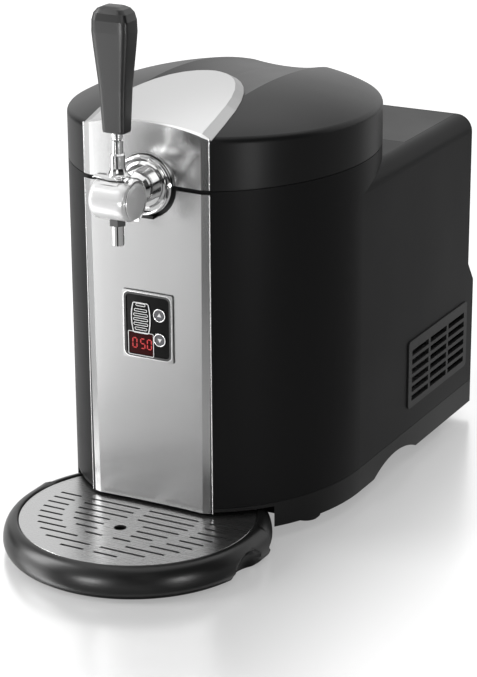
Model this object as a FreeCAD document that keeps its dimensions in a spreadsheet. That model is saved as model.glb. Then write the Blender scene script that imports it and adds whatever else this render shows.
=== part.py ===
import FreeCAD, Part
import Sketcher
import os
import re
from FreeCAD import Placement, Rotation, Vector

# A counter-top cooler and tap for a five litre party keg.  Millimetres, +Z up, front towards -Y.
# The origin is on the table, under the middle of the whole dispenser.

SIZES = {
    # housing in plan: an oval drum in front of a square rear bay
    "half_width": 126.5,        # flat sides, from the middle plane
    "drum_y": 13.5,             # centre of the drum's oval
    "drum_depth": 148.0,        # the oval's half length, front to back
    "front_flat_y": -119.5,     # flat that carries the steel front
    "drum_rear_y": 132.0,       # straight rear end of drum and lid
    "wall": 2.5,
    "foot_height": 11.0,
    "base_top_z": 32.8,
    "seam_gap": 0.3,
    "deck_z": 290.2,
    "seam_z": 303.5,            # between housing and lid, and height of the tap
    "shoulder_radius": 15.0,
    "deck_plate_half": 110.4,
    # lid dome: part of an ellipsoid
    "dome_y": 5.0,
    "dome_z": 310.5,
    "dome_rise": 57.5,
    "dome_half_x": 148.0,
    "dome_half_y": 178.0,
    "valley_radius": 225.0,     # trough behind the tongue, hollow across
    "valley_depth": 8.0,
    "lid_round": 5.5,
    # steel front
    "panel_half_top": 57.4,
    "panel_half_low": 55.1,
    "panel_edge_y": -121.0,
    "panel_bottom_z": 29.0,
    "strip_width": 6.6,
    "strip_rise": 2.2,
    "panel_sag": 1.4,
    # tongue on the lid
    "tongue_half": 58.6,        # at the foot of its sloped sides
    "tongue_rear_y": -3.0,
    "tongue_top_half": 50.2,    # at their top
    "tongue_top_rear_y": -7.0,
    "tongue_power": 2.3,        # how square its rounded rear end is
    "tongue_rise": 3.0,
    "tongue_edge": 0.6,
    # tap
    "tap_y": -169.0,
    "barrel_radius": 16.3,
    "barrel_half": 16.6,
    "barrel_round": 5.0,
    "bore_radius": 8.0,
    "fit_gap": 0.06,
    "saddle_thick": 2.6,
    "touch_gap": 0.3,
    "slot_half": 4.2,
    "stem_offset": 5.0,
    "stem_radius": 4.7,
    "shank_radius": 3.4,
    "collar_radius": 6.1,
    "saddle_top": 23.6,
    "collar_height": 12.0,
    "stem_height": 16.5,
    "handle_height": 99.0,
    "handle_base_x": 18.8,
    "handle_base_y": 13.4,
    "handle_wide_x": 29.0,
    "handle_wide_y": 19.8,
    "handle_round": 3.0,
    "flange_radius": 24.3,
    "flange_front_y": -127.5,
    "flange_back_y": -119.2,
    "notch_radius": 28.0,
    "neck_radius": 11.0,
    "thread_radius": 8.8,
    "nut_radius": 7.0,
    "nut_height": 6.4,
    "spout_radius": 5.0,
    "spout_bore": 3.4,
    "port_radius": 2.4,
    "lever_swing": 40.0,        # degrees, closed to open
    "spout_length": 19.0,
    # drip tray
    "tray_y": -145.5,
    "tray_radius": 111.0,
    "tray_height": 27.6,
    "tray_rear_y": -60.0,
    "tray_floor": 3.0,
    "grille_radius": 98.0,
    "grille_top_z": 26.4,
    "grille_thick": 2.0,
    "grille_rear_y": -72.0,
    "grille_first": 1.6,        # of the middle row, behind the tray's centre
    "grille_pitch": 9.9,
    "grille_slot": 2.6,
    "grille_margin": 16.0,
    "band_radius": 57.2,
    "band_half": 4.8,
    "drain_radius": 5.2,
    "drain_ahead": 28.0,
    "grip_y": -149.0,           # finger arches at the sides of the tray
    "grip_half": 17.5,
    "grip_rise": 9.0,
    "grip_wall": 5.0,
    "recess_half": 95.0,
    "recess_top_z": 29.6,
    "recess_rear_y": -60.0,
    # keg chamber
    "keg_y": 12.0,
    "liner_radius": 83.0,
    "liner_wall": 1.2,
    "liner_floor_z": 45.5,
    "liner_top_z": 298.0,
    "cup_radius": 52.0,         # room in the lid over the keg's head
    "cup_height": 26.0,
    "cup_wall": 2.0,
    "line_radius": 5.2,
    "line_bore": 3.6,
    "barb_radius": 6.0,
    "foam_thick": 19.0,
    "foam_floor_z": 34.0,
    # cooling
    "cold_half": 22.0,
    "cold_z": 150.0,
    "cold_depth": 20.0,
    "peltier_side": 40.0,
    "peltier_thick": 4.0,
    "sink_half": 44.0,
    "sink_base": 5.0,
    "fin_depth": 28.0,
    "fin_thick": 1.6,
    "fin_count": 15.0,
    "fan_half": 46.0,
    "fan_thick": 25.0,
    "rotor_radius": 42.0,
    "hub_radius": 17.0,
    # controls
    "bezel_half": 22.7,
    "bezel_low_z": 156.0,
    "bezel_high_z": 212.5,
    "bezel_proud": 1.6,
    "button_radius": 4.8,
    "button_x": 11.2,
    "button_high_z": 195.0,
    "button_low_z": 174.0,
    "window_low_z": 159.0,
    "window_high_z": 177.4,
    "window_left_x": -18.0,
    "window_right_x": 4.4,
    # side grilles
    "vent_y": 176.0,
    "vent_z": 84.0,
    "vent_half_y": 65.0,
    "vent_half_z": 31.5,
    "vent_rows": 6.0,
    "vent_columns": 3.0,
    # rear cover
    "cover_rear_y": 256.5,
    "bulge_step": 12.5,         # by which the cover lies further in above the bulge
    "bulge_z": 132.0,
    "bulge_slope": 18.0,
    # hinge
    "hinge_y": 140.5,
    "hinge_z": 298.5,
    "hinge_x": 62.0,
    "hinge_pin_radius": 2.5,
    "knuckle_half": 8.0,
    "ear_thick": 4.0,
    "knuckle_radius": 6.0,
    # mains parts, from the left side and the table
    "supply_length": 80.0,
    "supply_width": 76.0,
    "supply_top_z": 70.0,
    "supply_side": 26.5,
    "supply_back": 30.5,
    "inlet_side": 40.5,
    "inlet_z": 54.5,
    "inlet_half_x": 14.0,
    "inlet_half_z": 9.5,
    "switch_side": 76.5,
    "switch_z": 51.5,
    "switch_half_x": 10.0,
    "switch_half_z": 6.5,
    "mains_lip": 2.4,
    "pin_length": 12.0,
    "arch_half": 44.0,          # hand arches under the sides
    "arch_rise": 10.0,
    "arch_depth": 12.0,
}

doc = FreeCAD.newDocument("keg_dispenser")
sheet = doc.addObject("Spreadsheet::Sheet", "Sizes")
for row, (alias, number) in enumerate(SIZES.items(), start=1):
    sheet.set(f"A{row}", alias)
    sheet.set(f"B{row}", str(number))
    sheet.setAlias(f"B{row}", alias)
doc.recompute()

WORD = re.compile(r"[a-z][a-z0-9_]*")
AXES = {
    "z": Rotation(),
    "-z": Rotation(Vector(1, 0, 0), 180),
    "y": Rotation(Vector(1, 0, 0), -90),
    "-y": Rotation(Vector(1, 0, 0), 90),
    "x": Rotation(Vector(0, 1, 0), 90),
    "-x": Rotation(Vector(0, 1, 0), -90),
}
nodes = {}


# ---------------------------------------------------------------- tools of the document

def formula(text):
    """An expression in which every named size is its cell of the sheet."""
    return WORD.sub(lambda m: "Sizes." + m.group() if m.group() in SIZES else m.group(), str(text))


def value(text):
    """The present value of such an expression."""
    found = sheet.evalExpression(formula(text))
    return float(getattr(found, "Value", found))


def bind(item, **sizes):
    """Binds properties of an object; an underscore in a name stands for a dot."""
    for prop, text in sizes.items():
        item.setExpression(prop.replace("_", "."), formula(text))
    return item


def place(item, at, axis="z"):
    """Turns local Z to the axis and binds the position."""
    item.Placement = Placement(Vector(), AXES[axis])
    return bind(item, Placement_Base_x=at[0], Placement_Base_y=at[1], Placement_Base_z=at[2])


def part(kind, name):
    return doc.addObject("Part::" + kind, name)


def block(name, x, y, z):
    """A box between pairs of formulas."""
    item = bind(part("Box", name), Length=f"({x[1]}) - ({x[0]})",
                Width=f"({y[1]}) - ({y[0]})", Height=f"({z[1]}) - ({z[0]})")
    return place(item, (x[0], y[0], z[0]))


def rod(name, radius, length, at, axis="z"):
    return place(bind(part("Cylinder", name), Radius=radius, Height=length), at, axis)


def oval(name, inset, low, high):
    """A prism of the drum's plan, inset by a wall."""
    across = f"(half_width - ({inset}))"
    along = f"(drum_depth - ({inset}))"
    edge = part("Ellipse", name + "_plan")
    bind(edge, MajorRadius=f"max({across}; {along})", MinorRadius=f"min({across}; {along})")
    edge.Placement = Placement(Vector(), Rotation(Vector(0, 0, 1), 90))
    bind(edge, Placement_Base_y="drum_y", Placement_Base_z=low)
    edge.setExpression("Placement.Rotation.Angle", formula(f"{across} > {along} ? 0 deg : 90 deg"))
    prism = part("Extrusion", name)
    prism.Base = edge
    prism.DirMode = "Custom"
    prism.Dir = Vector(0, 0, 1)
    prism.Solid = True
    return bind(prism, LengthFwd=f"({high}) - ({low})")


def dome(name, raised):
    """The ellipsoid of the lid's top, raised or lowered."""
    item = part("Ellipsoid", name)
    item.Angle1 = -90
    item.Angle2 = 90
    bind(item, Radius1="dome_rise", Radius2="dome_half_x", Radius3="dome_half_y")
    return place(item, ("0", "dome_y", f"dome_z + ({raised})"))


def join(name, items):
    item = part("MultiFuse", name)
    item.Shapes = items
    item.Refine = True
    return item


def meet(name, items):
    item = part("MultiCommon", name)
    item.Shapes = items
    return item


def cut(name, base, tools):
    item = part("Cut", name)
    item.Base = base
    item.Tool = tools[0]
    if len(tools) > 1:
        group = part("Compound", name + "_tools")
        group.Links = tools
        item.Tool = group
    item.Refine = True
    return item


def rounded(name, base, radius, chosen):
    """Rounds the edges for which chosen(middle, edge) is true."""
    doc.recompute()
    item = part("Fillet", name)
    item.Base = base
    size = value(radius)
    item.Edges = [(number, size, size) for number, edge in enumerate(base.Shape.Edges, start=1)
                  if chosen(edge.BoundBox.Center, edge)]
    return item


def new_body(name):
    return doc.addObject("PartDesign::Body", name)


def sketch(body, role, offset="0"):
    plane = next(item for item in body.Origin.OriginFeatures if item.Role == role)
    item = body.newObject("Sketcher::SketchObject", body.Name + "_outline")
    item.AttachmentSupport = [(plane, "")]
    item.MapMode = "FlatFace"
    item.setExpression("AttachmentOffset.Base.z", formula(offset))
    return item


def fix(item, kind, geometry, point, text):
    """A named distance of a sketch point from the origin, bound to a formula."""
    number = item.addConstraint(Sketcher.Constraint(kind, -1, 1, geometry, point, value(text)))
    item.setExpression(f"Constraints[{number}]", formula(text))


def polygon(item, corners):
    """A closed outline whose corners are pairs of formulas."""
    spots = [Vector(value(x), value(y), 0) for x, y in corners]
    first = item.GeometryCount
    for number, spot in enumerate(spots):
        item.addGeometry(Part.LineSegment(spot, spots[(number + 1) % len(spots)]))
    for number, (x, y) in enumerate(corners):
        following = first + (number + 1) % len(corners)
        item.addConstraint(Sketcher.Constraint("Coincident", first + number, 2, following, 1))
        fix(item, "DistanceX", first + number, 1, x)
        fix(item, "DistanceY", first + number, 1, y)


def rectangle(item, x, y):
    """A rectangle between pairs of formulas."""
    polygon(item, [(x[0], y[0]), (x[1], y[0]), (x[1], y[1]), (x[0], y[1])])


def circle(item, x, y, radius):
    number = item.addGeometry(Part.Circle(Vector(value(x), value(y), 0), Vector(0, 0, 1), value(radius)))
    fix(item, "DistanceX", number, 3, x)
    fix(item, "DistanceY", number, 3, y)
    size = item.addConstraint(Sketcher.Constraint("Radius", number, value(radius)))
    item.setExpression(f"Constraints[{size}]", formula(radius))


def pad(body, profile, length, both=False):
    item = body.newObject("PartDesign::Pad", body.Name + "_pad")
    item.Profile = profile
    item.Midplane = both
    return bind(item, Length=length)


def pocket(body, profile, length="", both=False, back=False):
    item = body.newObject("PartDesign::Pocket", body.Name + "_pocket")
    item.Profile = profile
    item.Midplane = both
    item.Reversed = back
    if length:
        return bind(item, Length=length)
    item.Type = "ThroughAll"
    return item


def fillet(body, radius, chosen, kind="Fillet"):
    """Rounds or chamfers the edges of a body for which chosen(middle, edge) is true."""
    doc.recompute()
    names = [f"Edge{number}" for number, edge in enumerate(body.Shape.Edges, start=1)
             if chosen(edge.BoundBox.Center, edge)]
    solid = body.Tip
    item = body.newObject("PartDesign::" + kind, body.Name + "_edges")
    item.Base = (solid, names)
    item.setExpression("Radius" if kind == "Fillet" else "Size", formula(radius))
    body.Tip = item
    return item


def turned(name, corners, at=("0", "0", "0"), axis="z"):
    """A turned piece: corners are radius and height along its axis."""
    body = new_body(name)
    profile = sketch(body, "XZ_Plane")
    polygon(profile, corners)
    item = body.newObject("PartDesign::Revolution", name + "_turn")
    item.Profile = profile
    item.ReferenceAxis = (profile, ["V_Axis"])
    item.Angle = 360
    return place(body, at, axis)


def lofted(name, sections, at=("0", "0", "0"), plane="XY_Plane"):
    """A body through outlines at several distances from a plane."""
    body = new_body(name)
    outlines = []
    for distance, corners in sections:
        outline = sketch(body, plane, distance)
        polygon(outline, corners)
        outlines.append(outline)
    item = body.newObject("PartDesign::AdditiveLoft", name + "_loft")
    item.Profile = outlines[0]
    item.Sections = outlines[1:]
    item.Ruled = True
    return place(body, at)


def node(name, item):
    """Names a finished sub-part."""
    item.Label = name
    nodes[name] = item
    return item


def group(name, items):
    """Separate solids of one kind that share a node."""
    item = part("Compound", name + "_group")
    item.Links = items
    return node(name, item)


def about(middle, half):
    return (f"{middle} - ({half})", f"{middle} + ({half})")


# ---------------------------------------------------------------- housing

UPPER_Y = "(cover_rear_y - bulge_step)"
INLET_X = "(inlet_side - half_width)"
SWITCH_X = "(switch_side - half_width)"
SUPPLY_X = ("half_width - supply_side - supply_length", "half_width - supply_side")
SUPPLY_Y = ("cover_rear_y - supply_back - supply_width", "cover_rear_y - supply_back")
COVER_SCREWS = [(x, z, y) for x in ("-half_width + 9", "half_width - 9")
                for z, y in (("base_top_z + 14", "cover_rear_y"), ("deck_z - 26", UPPER_Y))]
ROCKER_TILT = 8     # degrees to either side of level


def drum(name, inset, low, high):
    """The drum's plan, cut flat at the front and the rear."""
    limits = block(name + "_limits", ("-2 * half_width", "2 * half_width"),
                   (f"front_flat_y + ({inset})", f"drum_rear_y - ({inset})"), (low, high))
    return meet(name, [oval(name + "_oval", inset, low, high), limits])


def housing_plan(name, inset, low, high, rear):
    """Drum and square rear bay together."""
    bay = block(name + "_bay", (f"-half_width + ({inset})", f"half_width - ({inset})"),
                ("drum_y", rear), (low, high))
    return join(name, [drum(name + "_drum", inset, low, high), bay])


def bay_prism(name, half, low, high, corner, rear):
    """The rear bay: a prism across the housing whose rear follows the bulge, with round top corners."""
    body = new_body(name)
    side = sketch(body, "YZ_Plane")
    polygon(side, [("drum_y", low), (f"cover_rear_y + ({rear})", low), (f"cover_rear_y + ({rear})", "bulge_z"),
                   (f"{UPPER_Y} + ({rear})", "bulge_z + bulge_slope"), (f"{UPPER_Y} + ({rear})", high),
                   ("drum_y", high)])
    pad(body, side, f"2 * ({half})", both=True)
    fillet(body, corner, lambda middle, edge: edge.BoundBox.YLength > 9 and abs(middle.z - value(high)) < 0.1)
    return body


def body_shell():
    low = "base_top_z + seam_gap"
    outer = join("shell_outer", [
        drum("shell_drum", "0", low, "seam_z - seam_gap"),
        drum("shell_lip", "wall / 2", "deck_z", "seam_z + seam_gap"),
        bay_prism("shell_bay", "half_width", low, "deck_z", "shoulder_radius", "-wall")])
    hollows = [
        drum("shell_drum_hollow", "wall", "0", "seam_z + wall"),
        bay_prism("shell_bay_hollow", "half_width - wall", "wall", "deck_z - 2 * wall",
                  "shoulder_radius - wall", "wall"),
        block("shell_deck_recess", about("0", "deck_plate_half + seam_gap"),
              ("drum_rear_y", f"{UPPER_Y} + wall"), ("deck_z - wall", "deck_z + wall")),
        rod("shell_notch", "notch_radius", "4 * wall", ("0", "front_flat_y - wall", "seam_z"), "y"),
        block("shell_control_window", about("0", "bezel_half - wall"),
              ("front_flat_y - wall", "front_flat_y + 2 * wall"), ("bezel_low_z + wall", "bezel_high_z - wall")),
        block("shell_vents", ("-2 * half_width", "2 * half_width"), about("vent_y", "vent_half_y - wall"),
              about("vent_z", "vent_half_z - wall")),
    ]
    return node("body_shell", cut("shell_body", outer, hollows))


def hand_arches(name, grown, depth):
    """The two hand arches under the sides, cut to a depth inward from each side."""
    radius = "((arch_half ^ 2 + arch_rise ^ 2) / (2 * arch_rise))"
    arch = rod(name + "_arch", f"{radius} + ({grown})", "4 * half_width",
               ("-2 * half_width", "vent_y / 2", f"foot_height + arch_rise - {radius}"), "x")
    middle = block(name + "_middle", about("0", f"half_width - ({depth})"),
                   ("2 * front_flat_y", "2 * cover_rear_y"), ("-4 * half_width", "2 * half_width"))
    return cut(name, arch, [middle])


def base_pan():
    outer = housing_plan("pan_outer", "0", "foot_height", "base_top_z", "cover_rear_y")
    inner = housing_plan("pan_inner", "wall", "foot_height + wall", "base_top_z + wall", "cover_rear_y - wall")
    cavity = cut("pan_cavity", inner, [
        block("pan_recess_roof", about("0", "recess_half + wall"),
              ("front_flat_y", "recess_rear_y + wall"), ("0", "base_top_z + 2 * wall")),
        hand_arches("pan_arch_walls", "wall", "arch_depth + wall")])
    recess = block("pan_recess", about("0", "recess_half"), ("2 * front_flat_y", "recess_rear_y"),
                   ("0", "recess_top_z"))
    body = cut("pan_body", outer, [cavity, recess, hand_arches("pan_arches", "0", "arch_depth")])
    radius = "liner_radius - foam_thick"
    seat_form = rod("pan_seat_outer", radius, "foam_floor_z - foot_height", ("0", "keg_y", "foot_height"))
    seat = cut("pan_seat", seat_form, [
        rod("pan_seat_bore", f"{radius} - wall", "foam_floor_z", ("0", "keg_y", "foot_height + wall")),
        block("pan_seat_recess", about("0", "recess_half"), ("2 * front_flat_y", "recess_rear_y"),
              ("0", "recess_top_z"))])
    return node("base_pan", join("pan_with_seat", [body, seat]))


def rubber_feet():
    """Four turned feet under the pan: one group of separate solids."""
    feet = []
    for x in ("-half_width + 30", "half_width - 30"):
        for y in ("-30", "cover_rear_y - 34"):
            feet.append(turned("foot", [("0", "0"), ("11", "0"), ("13", "2"), ("14", "foot_height"),
                                        ("0", "foot_height")], (x, y, "0")))
    return group("rubber_feet", feet)


def rear_cover():
    """A bent plate that follows the bulge of the bay."""
    body = new_body("cover")
    side = sketch(body, "YZ_Plane")
    low, high, inner = "base_top_z + seam_gap", "deck_z", "- wall + seam_gap"
    polygon(side, [("cover_rear_y", low), ("cover_rear_y", "bulge_z"), (UPPER_Y, "bulge_z + bulge_slope"),
                   (UPPER_Y, high), (f"{UPPER_Y} {inner}", high),
                   (f"{UPPER_Y} {inner}", "bulge_z + bulge_slope"), (f"cover_rear_y {inner}", "bulge_z"),
                   (f"cover_rear_y {inner}", low)])
    pad(body, side, "2 * half_width", both=True)
    fillet(body, "shoulder_radius", lambda middle, edge: 1 < edge.BoundBox.YLength < 3
           and edge.BoundBox.XLength < 0.1 and abs(middle.z - value(high)) < 0.1)
    holes = sketch(body, "XZ_Plane", f"-{UPPER_Y} + 9")
    rectangle(holes, about(INLET_X, "inlet_half_x + 0.2"), about("inlet_z", "inlet_half_z + 0.2"))
    rectangle(holes, about(SWITCH_X, "switch_half_x + 0.2"), about("switch_z", "switch_half_z + 0.2"))
    pocket(body, holes, "cover_rear_y")
    for x, z, y in COVER_SCREWS:
        seat = sketch(body, "XZ_Plane", f"-({y})")
        circle(seat, x, z, "3.3")
        pocket(body, seat, "1.6", back=True)
    return body


def rear_cover_slots(body):
    """Two fields of louvre slots: the fan's outlet and the upper one."""
    for field_low, field_rows in (("bulge_z + bulge_slope + 8", 7), ("base_top_z + 44", 4)):
        slots = sketch(body, "XZ_Plane", f"-{UPPER_Y} + 9")
        for row in range(field_rows):
            low = f"{field_low} + {row} * 9"
            rectangle(slots, about("0", "0.45 * half_width"), (low, f"{low} + 4"))
        pocket(body, slots, "cover_rear_y")
    return node("rear_cover", body)


def deck_plate():
    plate = block("deck_panel", about("0", "deck_plate_half"), ("drum_rear_y + seam_gap", f"{UPPER_Y} - wall"),
                  ("deck_z - wall", "deck_z"))
    soft = rounded("deck_soft", plate, "0.8", lambda middle, edge: middle.z > value("deck_z") - 0.1
                   and abs(middle.x) > 9)
    return node("rear_top_plate", soft)


def side_grille(name, side):
    """A framed grille of three columns of slots, let into the side wall."""
    body = new_body(name + "_body")
    frame = sketch(body, "YZ_Plane")
    high, long = "vent_half_z", "vent_half_y"
    rectangle(frame, (f"-{long}", long), (f"-{high}", high))
    pad(body, frame, "1.2")
    inner = sketch(body, "YZ_Plane", "0")
    high, long = "vent_half_z - wall - 0.3", "vent_half_y - wall - 0.3"
    rectangle(inner, (f"-({long})", long), (f"-({high})", high))
    plug = pad(body, inner, "wall")
    plug.Reversed = True
    fillet(body, "4", lambda middle, edge: abs(abs(middle.y) - value("vent_half_y")) < 0.1
           and abs(abs(middle.z) - value("vent_half_z")) < 0.1)
    first = sketch(body, "YZ_Plane", "1.2")
    pitch = "2 * (vent_half_y - 5) / vent_columns"
    low = "-vent_half_z + 6"
    step = "(2 * vent_half_z - 12) / vent_rows"
    for column in range(int(value("vent_columns"))):
        left = f"-vent_half_y + 7 + {column} * {pitch}"
        right = f"-vent_half_y + 3 + {column + 1} * {pitch}"
        rectangle(first, (left, right), (low, f"{low} + 0.6 * {step}"))
    pocket(body, first)
    cell = body.Tip
    rows = body.newObject("PartDesign::LinearPattern", name + "_rows")
    rows.Originals = [cell]
    rows.Direction = (first, ["V_Axis"])
    rows.Occurrences = int(value("vent_rows"))
    bind(rows, Length=f"{step} * (vent_rows - 1)")
    body.Tip = rows
    body.Placement = Placement(Vector(), Rotation() if side > 0 else Rotation(Vector(0, 0, 1), 180))
    bind(body, Placement_Base_x=f"{side} * half_width", Placement_Base_y="vent_y", Placement_Base_z="vent_z")
    return node(name, body)


# ---------------------------------------------------------------- steel front and controls

def front_profile(half, front, depth):
    """Plan of the bent steel front: a face and two angled strips."""
    ridge = f"{half} - strip_width"
    face = f"{front} - strip_rise"
    return [(f"-({half})", front), (f"-({ridge})", face), (ridge, face), (half, front),
            (half, f"{front} + {depth}"), (f"-({half})", f"{front} + {depth}")]


def front_hollow(name, half, low, high):
    """The large cylinder that gives the face its shallow hollow."""
    ridge = f"({half} - strip_width)"
    radius = f"(({ridge} ^ 2 + panel_sag ^ 2) / (2 * panel_sag))"
    return rod(name, radius, f"({high}) - ({low})",
               ("0", f"panel_edge_y - strip_rise + panel_sag - {radius}", low))


def front_panel():
    depth = "front_flat_y - panel_edge_y"
    low, high = "panel_bottom_z", "seam_z - 2"
    solid = lofted("front_sheet", [
        (low, front_profile("panel_half_low", "panel_edge_y", depth)),
        (high, front_profile("panel_half_top", "panel_edge_y", depth))])
    return node("front_panel", cut("front_sheet_cut", solid, [
        front_hollow("front_sheet_hollow", "panel_half_top", low, high),
        rod("front_sheet_notch", "notch_radius", "20", ("0", "front_flat_y - 12", "seam_z"), "y"),
        block("front_sheet_window", about("0", "bezel_half + 0.1"), ("2 * front_flat_y", "front_flat_y + 3"),
              ("bezel_low_z - 0.1", "bezel_high_z + 0.1"))]))


def lid_fascia(cap):
    """The same bent sheet on the lid, ending where the tongue's top and slopes end."""
    depth = "front_flat_y - panel_edge_y"
    low, high = "seam_z + 1.6", "seam_z + 60"
    solid = lofted("fascia_sheet", [
        (low, front_profile("panel_half_top", "panel_edge_y", depth)),
        (high, front_profile("panel_half_top", "panel_edge_y", depth))])
    hollowed = cut("fascia_sheet_cut", solid, [
        front_hollow("fascia_hollow", "panel_half_top", low, high),
        rod("fascia_notch", "flange_radius + 0.7", "20", ("0", "front_flat_y - 12", "seam_z"), "y")])
    return node("lid_fascia", meet("fascia_under_cap", [hollowed, cap]))


def control_bezel():
    body = new_body("bezel")
    low, high, half = "bezel_low_z", "bezel_high_z", "bezel_half"
    front = "-(panel_edge_y - strip_rise + panel_sag) + bezel_proud"
    outline = sketch(body, "XZ_Plane", "-front_flat_y")
    rectangle(outline, (f"-{half}", half), (low, high))
    pad(body, outline, f"{front} + front_flat_y")
    fillet(body, "5", lambda middle, edge: edge.BoundBox.YLength > 3)
    recess = sketch(body, "XZ_Plane", front)
    rim = "1.6"
    rectangle(recess, about("0", f"{half} - {rim}"), (f"{low} + {rim}", f"{high} - {rim}"))
    pocket(body, recess, "0.8")
    fillet(body, "4", lambda middle, edge: 0.7 < edge.BoundBox.YLength < 0.9)
    holes = sketch(body, "XZ_Plane", front)
    for z in ("button_low_z", "button_high_z"):
        circle(holes, "button_x", z, "button_radius + 0.3")
    rectangle(holes, ("window_left_x - 0.1", "window_right_x + 0.1"),
              ("window_low_z - 0.1", "window_high_z + 0.1"))
    pocket(body, holes)
    return node("control_bezel", body)


BEZEL_FACE = "panel_edge_y - strip_rise + panel_sag - bezel_proud + 0.8"
KEY_LENGTH = "(front_flat_y + 2.9 - (panel_edge_y - strip_rise + panel_sag - bezel_proud))"


def controls():
    """Display window, two keys and what stands behind them."""
    window = block("window_pane", ("window_left_x", "window_right_x"), (BEZEL_FACE, f"{BEZEL_FACE} + 1.4"),
                   ("window_low_z", "window_high_z"))
    node("display_window", window)
    display = block("display_block", ("window_left_x", "window_right_x"),
                    (f"{BEZEL_FACE} + 1.4", "front_flat_y + 8"), ("window_low_z", "window_high_z"))
    node("display_module", display)
    for name, z in (("button_up", "button_high_z"), ("button_down", "button_low_z")):
        key = turned(name + "_key", [
            ("0", "0"), ("button_radius - 1.8", "0"), ("button_radius - 1.8", "1.7"),
            ("button_radius + 1.2", "1.7"), ("button_radius + 1.2", "2.9"), ("button_radius", "2.9"),
            ("button_radius", f"{KEY_LENGTH} - 0.6"), ("button_radius - 0.8", KEY_LENGTH),
            ("0", KEY_LENGTH)], ("button_x", "front_flat_y + 2.9", z), "-y")
        node(name, key)
    switches = []
    for z in ("button_high_z", "button_low_z"):
        switches.append(block("key_switch", about("button_x", "3"),
                              ("front_flat_y + 4.3", "front_flat_y + 8"), about(z, "3")))
    group("key_switches", switches)
    board = block("board_sheet", about("0", "bezel_half - 2.8"), ("front_flat_y + 8", "front_flat_y + 9.6"),
                  ("bezel_low_z + 2.8", "bezel_high_z - 2.8"))
    node("control_board", board)
    posts = []
    for x in ("-bezel_half + 5.4", "bezel_half - 5.4"):
        for z in ("bezel_low_z + 27", "bezel_high_z - 5.4"):
            posts.append(rod("board_post", "2.2", "8", (x, "front_flat_y", z), "y"))
    group("board_posts", posts)


# ---------------------------------------------------------------- lid

def trough(name, grown):
    """A ring about a low axis across the lid; its inner side is the trough: hollow across, arched along."""
    ring = part("Torus", name)
    arch = "dome_half_y ^ 2 / dome_rise"
    bind(ring, Radius1=f"{arch} + valley_radius", Radius2=f"valley_radius + ({grown})")
    return place(ring, ("0", "dome_y", f"dome_z + dome_rise - valley_depth - {arch}"), "x")


def lid_shell():
    """The domed lid: soft rim, trough behind the tongue, hollow inside, knuckles at the rear."""
    low, high = "seam_z + seam_gap", "seam_z + 90"
    crown = meet("lid_crown", [drum("lid_outline", "0", low, high), dome("lid_dome", "0")])
    soft = rounded("lid_crown_soft", crown, "lid_round", lambda middle, edge: edge.BoundBox.YLength > 20
                   and edge.BoundBox.ZMin > value(low) + 5 and abs(middle.x) > value("half_width / 3"))
    behind = cut("lid_trough_behind", trough("lid_trough", "0"), [
        tongue_prism("lid_tongue_keep", "tongue_half", "tongue_rear_y")])
    shaped = cut("lid_shaped", soft, [behind])
    inside = meet("lid_inside_form", [drum("lid_inside", "wall", "0", high), dome("lid_inside_dome", "-wall")])
    hollow = cut("lid_hollow", inside, [trough("lid_trough_wall", "wall")])
    knuckles = []
    for x in ("-hinge_x", "hinge_x"):
        barrel = rod("lid_knuckle", "knuckle_radius", "2 * knuckle_half",
                     (f"{x} - knuckle_half", "hinge_y", "hinge_z"), "x")
        arm = block("lid_arm", about(x, "knuckle_half"), ("drum_rear_y - wall", "hinge_y"),
                    ("hinge_z + 1", "hinge_z + knuckle_radius + 4"))
        arm_soft = rounded("lid_arm_soft", arm, "knuckle_radius / 2", lambda middle, edge:
                           middle.y > value("hinge_y") - 0.1 and middle.z > value("hinge_z") + 9)
        knuckles += [barrel, arm_soft]
    holes = [hollow,
             rod("lid_notch", "notch_radius", "20", ("0", "front_flat_y - 5", "seam_z"), "y"),
             rod("lid_knuckle_bore", "hinge_pin_radius + fit_gap", "4 * hinge_x",
                 ("-2 * hinge_x", "hinge_y", "hinge_z"), "x"),
             block("lid_arm_clear", ("-half_width", "half_width"), ("0", "drum_rear_y + seam_gap"), ("0", low))]
    shell = cut("lid_body", join("lid_with_arms", [shaped] + knuckles), holes)
    return node("lid_shell", shell)


TONGUE_SHARES = (0, 0.2, 0.4, 0.55, 0.68, 0.79, 0.87, 0.93, 0.97, 0.993)     # of its length, front to rear


def tongue_width(half, share):
    """Half width of the tongue's outline at a share of its length: straight in front, round behind."""
    return f"(({half}) * sqrt(1 - min({share}; 1) ^ tongue_power))"


def tongue_prism(name, half, rear):
    """An upright prism of the tongue's outline."""
    body = new_body(name)
    outline = sketch(body, "XY_Plane", "seam_z")
    right = [(tongue_width(half, share), f"front_flat_y + {share} * ({rear} - front_flat_y)")
             for share in TONGUE_SHARES]
    left = [("-" + x, y) for x, y in reversed(right)]
    polygon(outline, right + [("0", rear)] + left)
    pad(body, outline, "seam_z")
    return body


def dome_height(x, y):
    return (f"(dome_z + dome_rise * sqrt(1 - ({x}) ^ 2 / dome_half_x ^ 2"
            f" - (({y}) - dome_y) ^ 2 / dome_half_y ^ 2))")


def tongue_section(y, foot_half, top_half, rise):
    """Cross section at y: upright to the foot, then the slope, carried on above the top."""
    foot = f"({dome_height(foot_half, y)} + tongue_edge)"
    slope = f"(({dome_height(top_half, y)} + {rise} - {foot}) / ({foot_half} - {top_half}))"
    inner = f"max({top_half} - 1.5 * ({foot_half} - {top_half}); 0.3)"
    top = f"{foot} + {slope} * ({foot_half} - {inner})"
    return [(f"-{foot_half}", "seam_z"), (foot_half, "seam_z"), (foot_half, foot), (inner, top),
            (f"-{inner}", top), (f"-{foot_half}", foot)]


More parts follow.
